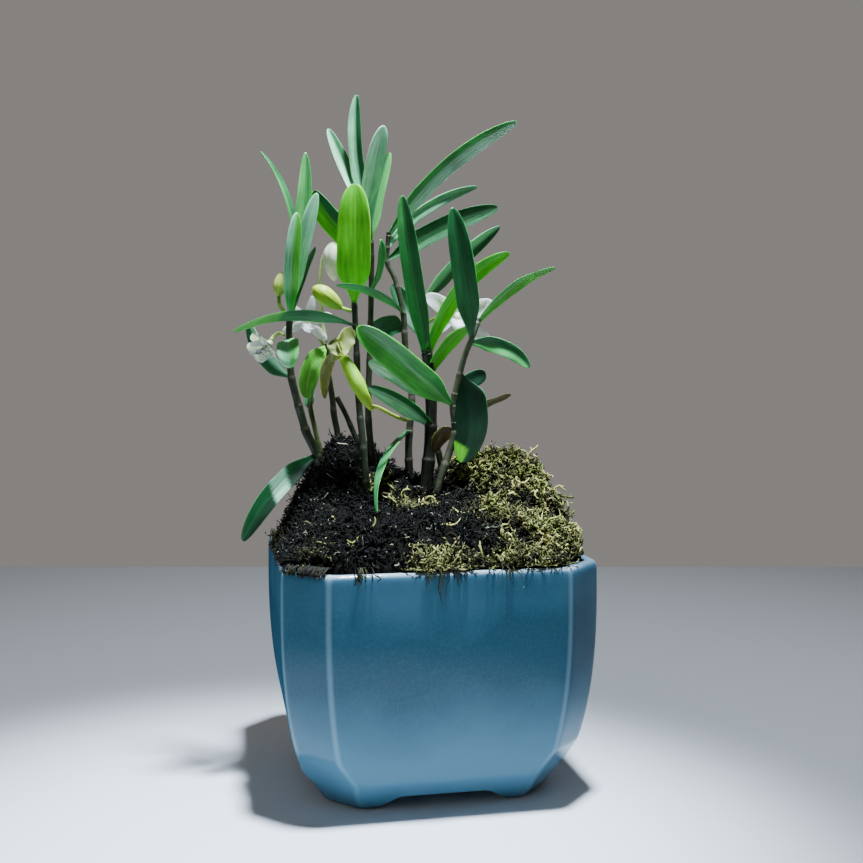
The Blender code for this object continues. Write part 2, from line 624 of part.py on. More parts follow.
def make_cane(cane, plant):
    """One cane with its leaves, fused into one body."""
    path = cane_path(cane)
    last = len(path) - 1
    radii = [cane.radius + (cane.tip_radius - cane.radius) * index / last for index in range(last + 1)]
    body = tube(cane.name, path, radii, "leaf" if cane.leaves else "cane", plant)
    leaves = []
    for index, leaf in enumerate(cane.leaves):
        root = point_at_height(path, leaf.height)
        leaves.append(blade(f"{cane.name}_leaf_{index}", root, at(leaf.tip), turned(leaf.bow),
                            leaf.width, leaf.turn, LEAF_THICKNESS, LEAF_ROWS, 2 * cane.tip_radius,
                            bpy.context.scene.collection))
    if leaves:
        apply_boolean(body, leaves, "UNION")
    return path


def leaf_lines(cane, path):
    """The middle lines of a cane's leaves, to keep strands clear of them."""
    lines = []
    for leaf in cane.leaves:
        root, tip, bow = point_at_height(path, leaf.height), at(leaf.tip), turned(leaf.bow)
        lines.append([bowed(root, tip, bow, row / LEAF_ROWS)[0] for row in range(LEAF_ROWS + 1)])
    return lines


def make_mound(plant, paths, lines):
    """The moss mound with its strands, and a plain hole for each cane's foot."""
    core = mound_core()
    dome = BVHTree.FromBMesh(core)
    mound = place("moss_mound", finish(core, "moss_mound"), "moss", plant)
    scene = bpy.context.scene.collection
    strands = mound_strands(dome, paths + lines, scene) + rim_tuft(dome, scene)
    apply_boolean(mound, strands, "UNION")
    holes = []
    for cane, path in zip(CANES, paths):
        ground = path[0] - (path[1] - path[0]).normalized() * GAP
        line = [ground] + [spot for spot in path[1:] if spot.z < path[0].z + HOLE_REACH]
        radii = [cane.radius + HOLE_ROOM] * len(line)
        holes.append(tube(f"hole_{cane.name}", line, radii, None, scene))
    apply_boolean(mound, holes, "DIFFERENCE")


def turn_to_face(root, tip, facing):
    """The turn about a blade's line that makes its face look along a direction."""
    line = (tip - root).normalized()
    front = toward((0, -1, 0))
    front = (front - line * front.dot(line)).normalized()
    wanted = (facing - line * facing.dot(line)).normalized()
    return math.degrees(math.atan2(line.dot(front.cross(wanted)), front.dot(wanted)))


def petal(name, root, tip, bow, width, turn):
    """One sepal, petal or lip as a loose solid, ready to be fused."""
    return blade(name, root, tip, bow, width, turn, PETAL_THICKNESS, PETAL_ROWS, PETAL_ROOT,
                 bpy.context.scene.collection)


def make_bloom(bloom, plant):
    """A flower of three sepals, two petals and a lip fused round its heart, and its stalk beside it."""
    heart, facing, size = at(bloom.heart), toward(bloom.facing), bloom.size
    up = toward(bloom.up)
    up = (up - facing * up.dot(facing)).normalized()
    right = up.cross(facing)
    bm = bmesh.new()
    bmesh.ops.create_icosphere(bm, subdivisions=1, radius=HEART_SHARE * size,
                               matrix=Matrix.Translation(heart))
    body = place(f"bloom_{bloom.name}", finish(bm, bloom.name), "petal", plant)
    pieces = []
    for index, tepal in enumerate(FIVE_TEPALS):
        angle = math.radians(tepal.angle)
        out = right * math.cos(angle) + up * math.sin(angle)
        tip = heart + (out * tepal.length + facing * tepal.lift) * size
        pieces.append(petal(f"tepal_{index}", heart, tip, facing * PETAL_BOW * size, tepal.width * size,
                            turn_to_face(heart, tip, facing)))
    tip = heart + (facing * 0.75 - up * 0.66) * bloom.lip
    pieces.append(petal("lip", heart, tip, facing * 0.2 * bloom.lip, LIP_WIDTH * bloom.lip,
                        turn_to_face(heart, tip, up)))
    apply_boolean(body, pieces, "UNION")
    stalk = [at(point) for point in bloom.stalk]
    stalk.append(heart + (stalk[-1] - heart).normalized() * (HEART_SHARE * size + GAP))
    line = smooth_path(stalk, STALK_STEPS)
    tube(f"stalk_{bloom.name}", line, [STALK_RADIUS] * len(line), "stalk", plant)


def make_bud(bud, plant):
    """A closed bud, spindle shaped, fused to its stalk."""
    base, tip = at(bud.base), at(bud.tip)
    stalk = [at(point) for point in bud.stalk] + [base.lerp(tip, STALK_INSIDE)]
    line = smooth_path(stalk, STALK_STEPS)
    body = tube(bud.name, line, [STALK_RADIUS] * len(line), "bud", plant)
    radii = []
    for share in BUD_RINGS:
        side = share / bud.fullest if share < bud.fullest else (1 - share) / (1 - bud.fullest)
        radii.append(max(BUD_END_RADIUS, bud.radius * math.sin(side * math.pi / 2) ** 0.6))
    spindle = tube(bud.name + "_body", [base.lerp(tip, share) for share in BUD_RINGS], radii, None,
                   bpy.context.scene.collection)
    apply_boolean(body, [spindle], "UNION")


def make_fading_bloom(plant):
    """The fading flower: its stalk, its green chin and its limp sepals and petals, fused."""
    chin = [at(point) for point in FADED_CHIN]
    line = smooth_path([at(point) for point in FADED_STALK] + [chin[1]], STALK_STEPS)
    body = tube("bloom_fading", line, [STALK_RADIUS] * len(line), "faded", plant)
    pieces = [tube("chin", chin, FADED_CHIN_RADII, None, bpy.context.scene.collection)]
    for index, (tip, width, turn, bow) in enumerate(FADED_TEPALS):
        pieces.append(petal(f"faded_{index}", chin[-1], at(tip), turned(bow), width, turn))
    apply_boolean(body, pieces, "UNION")


def main():
    """Builds the plant in its pot."""
    remove(list(bpy.data.objects))
    plant = bpy.data.collections.new("potted_dendrobium")
    cutters = bpy.data.collections.new("cutters")
    bpy.context.scene.collection.children.link(plant)
    bpy.context.scene.collection.children.link(cutters)
    make_pot(plant, cutters)
    make_medium(plant)
    paths = [make_cane(cane, plant) for cane in CANES]
    lines = [line for cane, path in zip(CANES, paths) for line in leaf_lines(cane, path)]
    make_mound(plant, paths, lines)
    for bloom in BLOOMS:
        make_bloom(bloom, plant)
    for bud in BUDS:
        make_bud(bud, plant)
    make_fading_bloom(plant)
    for piece in plant.objects:
        piece.data.shade_smooth()
        piece.data.set_sharp_from_angle(angle=SMOOTH_ANGLE)


main()
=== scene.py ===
"""Looks of a small dendrobium orchid in a square glazed pot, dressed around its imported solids.

Lengths are millimetres until a mesh is written. The plant is described on plant axes: x to the
right, y away from its best side, z up, all from the middle of the pot's underside. at() and
turned() put them into the part's own frame, where the pot's sides lie along x and y.
"""
import logging
import math
import random
from collections.abc import Callable, Sequence
from dataclasses import dataclass
from enum import Enum
from functools import partial

import bmesh
import bpy
import numpy as np
from mathutils import Matrix, Vector, noise
from mathutils.bvhtree import BVHTree

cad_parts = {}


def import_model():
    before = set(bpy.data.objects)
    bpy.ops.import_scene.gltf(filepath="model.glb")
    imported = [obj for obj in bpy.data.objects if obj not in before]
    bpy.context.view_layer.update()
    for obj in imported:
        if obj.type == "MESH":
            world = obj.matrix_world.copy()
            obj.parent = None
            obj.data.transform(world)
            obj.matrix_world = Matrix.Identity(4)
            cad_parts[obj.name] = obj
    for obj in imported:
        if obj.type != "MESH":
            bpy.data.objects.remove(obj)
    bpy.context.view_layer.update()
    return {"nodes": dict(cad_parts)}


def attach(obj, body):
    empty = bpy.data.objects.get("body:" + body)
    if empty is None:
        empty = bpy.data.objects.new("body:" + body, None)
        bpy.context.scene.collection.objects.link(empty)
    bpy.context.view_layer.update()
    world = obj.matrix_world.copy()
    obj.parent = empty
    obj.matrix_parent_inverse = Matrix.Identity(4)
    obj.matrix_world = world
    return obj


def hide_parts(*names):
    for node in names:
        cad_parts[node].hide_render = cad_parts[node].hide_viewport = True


LOG = logging.getLogger("orchid")
MM = 0.001
WELD = 0.0005  # points closer than this are one
POT_AXIS = Vector((5.8, 1.4, 0.0))
PLANT_TURN = math.radians(-11.2)
FRONT = Vector((0.0, -1.0, 0.0))
Triple = tuple[float, float, float]
Span = tuple[float, float]
Look = bpy.types.Material
Looks = Sequence[Look]
Piece = bpy.types.Object
Draw = random.Random
# from the shares along a skin and around it, to a point on it and the point's strip value
Spot = Callable[[float, float], tuple[Vector, Vector]]


def turned(offset: Sequence[float]) -> Vector:
    """Turns an offset on plant axes onto the part's axes."""
    return Matrix.Rotation(PLANT_TURN, 3, "Z") @ Vector(offset)


def at(point: Sequence[float]) -> Vector:
    """Turns a place on plant axes into the part's frame."""
    return turned(point) + POT_AXIS


def plant_axes(point: Vector) -> Vector:
    """Turns a place in the part's frame back onto plant axes."""
    return Matrix.Rotation(-PLANT_TURN, 3, "Z") @ (point - POT_AXIS)


def rgba(code: str) -> tuple[float, float, float, float]:
    """Turns an sRGB hex colour such as 2f7d45 into a linear colour."""
    parts = [int(code[place:place + 2], 16) / 255 for place in (0, 2, 4)]
    return (*[part / 12.92 if part <= 0.04045 else ((part + 0.055) / 1.055) ** 2.4 for part in parts], 1.0)


def ease(share: float) -> float:
    """Smooth step from 0 to 1."""
    share = max(0.0, min(1.0, share))
    return share * share * (3 - 2 * share)


def bowed(root: Vector, tip: Vector, bow: Vector, share: float) -> tuple[Vector, Vector]:
    """Follows a line whose middle is bowed aside.

    Args:
        root: where it starts.
        tip: where it ends.
        bow: how far aside its middle lies.
        share: how much of it lies before the point.

    Returns:
        The point, and the line's direction there.
    """
    handle = (root + tip) / 2 + bow * 2
    start, end = root.lerp(handle, share), handle.lerp(tip, share)
    return start.lerp(end, share), (end - start).normalized()


def lookup(table: Sequence[Span], place: float) -> float:
    """Reads a value off a table, straight between its rows.

    Args:
        table: places in rising order, each with its value.
        place: the place to read at.

    Returns:
        The value there, or the last one beyond the table.
    """
    for (low, start), (high, end) in zip(table, table[1:]):
        if place <= high:
            return start + (end - start) * (place - low) / (high - low)
    return table[-1][1]


class Line:
    """A smooth line through points, with a steady pair of directions across it."""

    def __init__(self, points: Sequence[Vector], steps: int = 1) -> None:
        """Lays a Catmull-Rom line.

        Args:
            points: the places that it passes through.
            steps: stretches between two of them.
        """
        ends = [points[0] * 2 - points[1], *points, points[-1] * 2 - points[-2]]
        self.points: list[Vector] = []
        for before, start, end, after in zip(ends, ends[1:], ends[2:], ends[3:]):
            for step in range(steps):
                t = step / steps
                self.points.append(0.5 * (2 * start + (end - before) * t
                                          + (2 * before - 5 * start + 4 * end - after) * t * t
                                          + (3 * start - before - 3 * end + after) * t * t * t))
        self.points.append(points[-1])
        self.lengths = [0.0]
        for start, end in zip(self.points, self.points[1:]):
            self.lengths.append(self.lengths[-1] + (end - start).length)
        self.sides = self._sides()

    def _sides(self) -> list[tuple[Vector, Vector]]:
        """Carries two directions across the line from its start to its end without twist.

        Returns:
            The two directions at each of its points.
        """
        sides = []
        across = turned((1, 0, 0))
        last = len(self.points) - 1
        for index in range(last + 1):
            along = (self.points[min(index + 1, last)] - self.points[max(index - 1, 0)]).normalized()
            across = (across - along * across.dot(along)).normalized()
            sides.append((across, along.cross(across)))
        return sides

    def at_length(self, length: float) -> tuple[Vector, Vector, Vector]:
        """Finds a point on the line.

        Args:
            length: how far along the line it is.

        Returns:
            The point, and the two directions across the line there.
        """
        index = 0
        while index < len(self.points) - 2 and self.lengths[index + 1] < length:
            index += 1
        span = self.lengths[index + 1] - self.lengths[index]
        share = max(0.0, min(1.0, (length - self.lengths[index]) / span))
        place = self.points[index].lerp(self.points[index + 1], share)
        first = self.sides[index][0].lerp(self.sides[index + 1][0], share).normalized()
        second = self.sides[index][1].lerp(self.sides[index + 1][1], share).normalized()
        return place, first, second

    def length_at_height(self, height: float) -> float:
        """Finds where a rising line reaches a height.

        Args:
            height: the height.

        Returns:
            The length along the line, which is its whole length if it stays lower.
        """
        for index, (start, end) in enumerate(zip(self.points, self.points[1:])):
            if start.z <= height <= end.z:
                share = (height - start.z) / max(end.z - start.z, WELD)
                return self.lengths[index] + share * (self.lengths[index + 1] - self.lengths[index])
        return self.lengths[-1]


class Form:
    """A mesh in the making, with the surface coordinates and tints that its finishes read.

    The strip attribute of a blade is its place from edge to edge, from -1 to 1, its distance from
    the root in millimetres and its share of the length. On a stem the first is the share of the
    stretch between two nodes, and on a bud or lobe the turn about its axis.
    """

    BLEND = 2.5  # how crisply a blade's two colours meet along its middle

    def __init__(self, name: str) -> None:
        """Starts an empty mesh of that name."""
        self.name = name
        self.bm = bmesh.new()
        self.strip = self.bm.verts.layers.float_vector.new("strip")
        self.tint = self.bm.verts.layers.float_color.new("tint")

    def loft(self, rows: int, columns: int, spot: Spot, tint: str, material: int = 0,
             other: str = "") -> None:
        """Lays a closed skin: a grid whose long sides meet and whose ends close on a point.

        Args:
            rows: faces along it.
            columns: faces around it.
            spot: gives a point and its strip value from the shares along and around.
            tint: sRGB hex colour of the skin.
            material: index of its material.
            other: colour where the strip's first value is above 0, if that differs.
        """
        grid = bmesh.ops.create_grid(self.bm, x_segments=columns, y_segments=rows, size=1)["verts"]
        colour, second = np.array(rgba(tint)), np.array(rgba(other or tint))
        for vert in grid:
            along = round((vert.co.y + 1) / 2 * rows) / rows
            around = round((vert.co.x + 1) / 2 * columns) / columns
            vert.co, value = spot(along, around)
            vert[self.strip] = value
            vert[self.tint] = Vector(colour + (second - colour) * ease(0.5 + value.x * self.BLEND))
        for face in {face for vert in grid for face in vert.link_faces}:
            face.material_index = material
            face.smooth = True
        bmesh.ops.remove_doubles(self.bm, verts=grid, dist=WELD)

    def tube(self, line: Line, radius: Callable[[float], float], columns: int, tint: str,
             lengths: Sequence[float] = (), material: int = 0,
             strip: Callable[[float], float] = lambda length: 0.5) -> None:
        """Lays a round stem along a line, closed at both ends.

        Args:
            line: its middle.
            radius: gives its radius at a length.
            columns: faces around it.
            tint: sRGB hex colour.
            lengths: where its rings are, or none for one at each of the line's points.
            material: index of its material.
            strip: gives the strip attribute's first value at a length.
        """
        places = list(lengths) or line.lengths
        places = [places[0], *places, places[-1]]
        whole = places[-1]

        def spot(along: float, around: float) -> tuple[Vector, Vector]:
            """A point of the stem, ring by ring."""
            index = round(along * (len(places) - 1))
            length = places[index]
            place, first, second = line.at_length(length)
            reach = 0.0 if index in (0, len(places) - 1) else radius(length)
            angle = around * math.tau
            out = first * math.cos(angle) + second * math.sin(angle)
            return place + out * reach, Vector((strip(length), length, length / whole))

        self.loft(len(places) - 1, columns, spot, tint, material)

    def finish(self, looks: Looks, slot: str, *replaced: str) -> Piece:
        """Writes the mesh as a piece of the object.

        Args:
            looks: its materials, in the order of their indexes.
            slot: the record's material slot; passed on, but not used.
            replaced: the CAD nodes that it stands for.

        Returns:
            The piece.
        """
        return write_piece(self.name, self.bm, looks, slot, *replaced)


def write_piece(name: str, bm: bmesh.types.BMesh, looks: Looks, slot: str,
                *replaced: str) -> Piece:
    """Writes a closed shape as a piece of the object.

    Args:
        name: the piece's name.
        bm: the shape in millimetres, which is used up.
        looks: its materials.
        slot: the record's material slot; passed on, but not used.
        replaced: the CAD nodes that it stands for.

    Returns:
        The piece.
    """
    bmesh.ops.recalc_face_normals(bm, faces=bm.faces)
    bmesh.ops.scale(bm, vec=(MM, MM, MM), verts=bm.verts)
    mesh = bpy.data.meshes.new(name)
    bm.to_mesh(mesh)
    bm.free()
    return add_piece(name, mesh, looks, slot, *replaced)


def add_piece(name: str, mesh: bpy.types.Mesh, looks: Looks, slot: str,
              *replaced: str) -> Piece:
    """Puts a finished mesh into the scene as a piece that rides on the plant.

    Args:
        name: the piece's name.
        mesh: its mesh, in metres in the part's frame.
        looks: its materials.
        slot: the record's material slot; not used.
        replaced: the CAD nodes that it stands for.

    Returns:
        The piece.
    """
    mesh.materials.clear()
    for look in looks:
        mesh.materials.append(look)
    piece = bpy.data.objects.new(name, mesh)
    bpy.context.scene.collection.objects.link(piece)
    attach(piece, "root")
    if replaced:
        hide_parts(*replaced)
    triangles = sum(len(face.vertices) - 2 for face in mesh.polygons)
    LOG.info("%s: %d triangles, for %s", name, triangles, ", ".join(replaced) or "no node")
    return piece


@dataclass(frozen=True)
class Blade:
    """A leaf, petal or lip: a thin closed skin along a bowed line."""

    CROWDING = 1.5  # above 1, its rows of faces lie closer toward its tip
    CREASE = 0.14  # share of the half width that rounds the floor of its V fold
    EDGE_REACH = 0.96  # share of the half width where its edge lies
    LAG = 1.7  # how far the ripples of its edges are out of step

    root: Vector
    tip: Vector
    bow: Vector
    turn: float  # degrees about its line from facing front
    profile: Callable[[float], float]
    fold: float = 0.25  # rise of its edges from a V fold, as a share of the half width
    cup: float = 0.0  # and from a round trough
    wave: float = 0.0  # height of the ripples along its edges
    waves: float = 2.5
    twist: float = 0.0  # degrees from root to tip
    thickness: float = 0.5
    rows: int = 30
    columns: int = 18

    def face(self, line: Vector, share: float) -> Vector:
        """Turns the blade's face about its line.

        Args:
            line: the line's direction.
            share: how much of its length lies before the place.

        Returns:
            The direction that it faces there.
        """
        front = turned(FRONT)
        face = (front - line * front.dot(line)).normalized()
        return Matrix.Rotation(math.radians(self.turn + self.twist * (share - 0.5)), 3, line) @ face

    def lay(self, form: Form, tint: str, other: str = "") -> None:
        """Adds the blade to a form.

        Args:
            form: the mesh that it joins.
            tint: sRGB hex colour of the half on its left, seen from its root.
            other: colour of the other half, if that differs.
        """
        length = (self.tip - self.root).length

        def spot(along: float, around: float) -> tuple[Vector, Vector]:
            """A point of the blade, from its left edge over its face and back behind it."""
            share = 1 - (1 - along) ** self.CROWDING
            centre, line = bowed(self.root, self.tip, self.bow, share)
            face = self.face(line, share)
            angle = around * math.tau
            edge = -math.cos(angle)
            half = self.profile(share)
            rise = self.fold * (math.hypot(edge, self.CREASE) - self.CREASE) + self.cup * edge * edge
            ripple = self.wave * math.sin(share * self.waves * math.tau + self.LAG * edge) * edge * edge
            thick = self.thickness * (0.5 + 0.5 * math.sqrt(max(0.0, 1 - edge * edge))) / 2
            thick *= min(1.0, half / self.thickness) * math.sin(angle)
            place = centre + line.cross(face) * edge * half * self.EDGE_REACH
            place += face * (rise * half + ripple * min(1.0, half) + thick)
            return place, Vector((edge, share * length, share))

        form.loft(self.rows, self.columns, spot, tint, other=other)


class Tint(Enum):
    """Greens that the leaves are tinted in, half by half; besides the leaves' own greens some are painted
    light and painted shade.
    """

    # partly painted shade, for leaves that lie in the shade of others
    DARKEST = "0b2f1a"
    DEEP = "1c5a30"
    DARK = "286f3c"
    MID = "3a8f46"
    FRESH = "54b436"
    LIME = "5cc420"
    SPRING = "70c848"
    SOFT = "5cb65e"
    LEAFY = "49a840"
    # painted highlight, for a half that faces the lamp
    PALE = "80cb98"
    # painted highlight: the pale sheen of the lamp on a glossy half
    PAINTED_HIGHLIGHT = "b0e4c4"
    OLIVE = "66601f"
    WITHERED = "4c3f18"


@dataclass(frozen=True)
class PaintedLight:
    """A stretch of a leaf painted paler, painted light where light falls through a gap between the leaves
    above it.
    """

    CRISP = 25.0  # how crisp its ends are
    HALVED = 4.0  # and its edge along the midrib, where it keeps to one half
    SLANT = 0.05  # how far its ends slant across the leaf

    start: float  # shares of the leaf's length
    end: float
    # colour of the painted light
    tint: str
    side: float = 0.0  # 1 or -1 for the right or left half only

    def amount(self, across: float, share: float) -> float:
        """How much of its tint shows at a place on the leaf.

        Args:
            across: from edge to edge, from -1 to 1.
            share: of the leaf's length.

        Returns:
            The share of the tint, from 0 to 1.
        """
        share += self.SLANT * across
        amount = ease((share - self.start) * self.CRISP + 0.5) * ease((self.end - share) * self.CRISP + 0.5)
        if self.side:
            amount *= ease(0.5 + self.HALVED * across * self.side)
        return amount


@dataclass(frozen=True)
class Leaf:
    """A strap-shaped leaf, from a height on its cane to its tip."""

    FULL_FROM = 0.3  # share of its length where it has reached its width
    TAPER_FROM = 0.52  # and where it starts to narrow again
    SPREAD = 1.13  # makes up for the width that the fold and the edges take away
    # from where to where each leaf's own fold, cup, ripples and twist are drawn
    FOLD = (0.42, 0.56)
    CUP = (-0.16, -0.06)
    WAVE = (0.05, 0.2)
    WAVES = (1.2, 2.2)
    TWIST = (-14, 14)

    height: float
    tip: Triple
    width: float
    turn: float
    bow: Triple
    tint: Tint = Tint.MID  # of the half on its left, seen from its root toward its tip; the halves differ by painted light and shade
    other: Tint = Tint.MID  # of the half on its right; where it differs from the left, that is painted light and shade
    blunt: float = 2.4  # above 2 a rounder tip, below it a sharper one
    # a stretch painted paler as painted light, if the leaf has one
    sheen: PaintedLight | None = None

    def lay(self, form: Form, line: Line, root_width: float, draw: Draw) -> None:
        """Grows the leaf from its cane.

        Args:
            form: the cane's mesh.
            line: the cane's middle.
            root_width: width of the leaf where it leaves the cane.
            draw: seeded numbers for its small irregularities.
        """
        def half_width(share: float) -> float:
            """Half the leaf's width at a share of its length."""
            narrowing = max(0.0, (share - self.TAPER_FROM) / (1 - self.TAPER_FROM))
            taper = max(0.0, 1 - narrowing ** self.blunt) ** 0.5
            growth = ease(share / self.FULL_FROM)
            return (root_width + (self.width * self.SPREAD - root_width) * growth) * taper / 2

        root = line.at_length(line.length_at_height(self.height))[0]
        blade = Blade(root, at(self.tip), turned(self.bow), self.turn, half_width,
                      fold=draw.uniform(*self.FOLD), cup=draw.uniform(*self.CUP),
                      wave=draw.uniform(*self.WAVE), waves=draw.uniform(*self.WAVES),
                      twist=draw.uniform(*self.TWIST), rows=60, columns=20)
        known = len(form.bm.verts)
        blade.lay(form, self.tint.value, self.other.value)
        # paints the light that falls on a stretch of the leaf through the leaves above
        if self.sheen:
            lit = Vector(rgba(self.sheen.tint))
            for vert in list(form.bm.verts)[known:]:
                across, _, share = vert[form.strip]
                vert[form.tint] = vert[form.tint].lerp(lit, self.sheen.amount(across, share))


@dataclass(frozen=True)
class Cane:
    """A jointed cane with its leaves."""

    STRAY = 1.0  # how far a ring strays from its even place
    SHORTEST = 1.6  # least length between two rings
    # shares of the length between two rings where its skin has an edge
    EDGES = (0.0, 0.04, 0.1, 0.25, 0.5, 0.75, 0.9, 0.985)
    SLIM = 0.93  # share of the radius just above a ring
    KNOB = (0.5, 0.06)  # the ring's own swelling and how far up it reaches

    name: str
    radius: float
    tip_radius: float
    points: tuple[Triple, ...]
    leaves: tuple[Leaf, ...]
    tint: str = "262e1c"
    foot_depth: float = 9.0
    internode: float = 9.5
    swelling: float = 0.16

    def line(self) -> Line:
        """The cane's middle, from its foot in the mound to its top."""
        points = [at(point) for point in self.points]
        foot = points[0] + (points[0] - points[1]).normalized() * self.foot_depth
        return Line([foot, *points], 6)

    def nodes(self, line: Line, draw: Draw) -> list[float]:
        """Places the rings on the cane: one where each leaf starts, and more between them.

        Args:
            line: the cane's middle.
            draw: seeded numbers for their small irregularities.

        Returns:
            Their lengths along the line.
        """
        whole = line.lengths[-1]
        wanted = sorted([0.0, whole, *(line.length_at_height(leaf.height) for leaf in self.leaves)])
        rings = [wanted[0]]
        for length in wanted[1:]:
            count = max(1, round((length - rings[-1]) / self.internode))
            start = rings[-1]
            for index in range(1, count + 1):
                aside = draw.uniform(-self.STRAY, self.STRAY) if index < count else 0.0
                ring = start + (length - start) * index / count + aside
                if ring - rings[-1] > self.SHORTEST or ring == whole:
                    rings.append(ring)
        return rings

    def build(self, looks: Looks) -> Piece:
        """Makes the cane and its leaves as one piece.

        Args:
            looks: the finishes of leaves and canes.

        Returns:
            The piece.
        """
        draw = random.Random(self.name)
        form = Form(self.name + "_grown")
        line = self.line()
        rings = self.nodes(line, draw)
        whole = line.lengths[-1]

        def share_of_stretch(length: float) -> float:
            """How much of the stretch between two rings lies below a length."""
            below = max((ring for ring in rings if ring <= length + WELD), default=0.0)
            above = min((ring for ring in rings if ring > length + WELD), default=whole + 1)
            return (length - below) / (above - below)

        def radius(length: float) -> float:
            """The cane's radius: it swells toward each ring and has a knob on it."""
            plain = self.radius + (self.tip_radius - self.radius) * length / whole
            share = share_of_stretch(length)
            knob, reach = self.KNOB
            return plain * (self.SLIM + self.swelling * (share ** 3 + knob * math.exp(-(share / reach) ** 2)))

        lengths = []
        for start, end in zip(rings, rings[1:]):
            lengths += [start + (end - start) * share for share in self.EDGES]
        lengths.append(whole)
        form.tube(line, radius, 16, self.tint, lengths, 1, share_of_stretch)
        for leaf in self.leaves:
            leaf.lay(form, line, 2 * self.tip_radius, draw)
        return form.finish(looks, "leaf" if self.leaves else "cane", self.name)


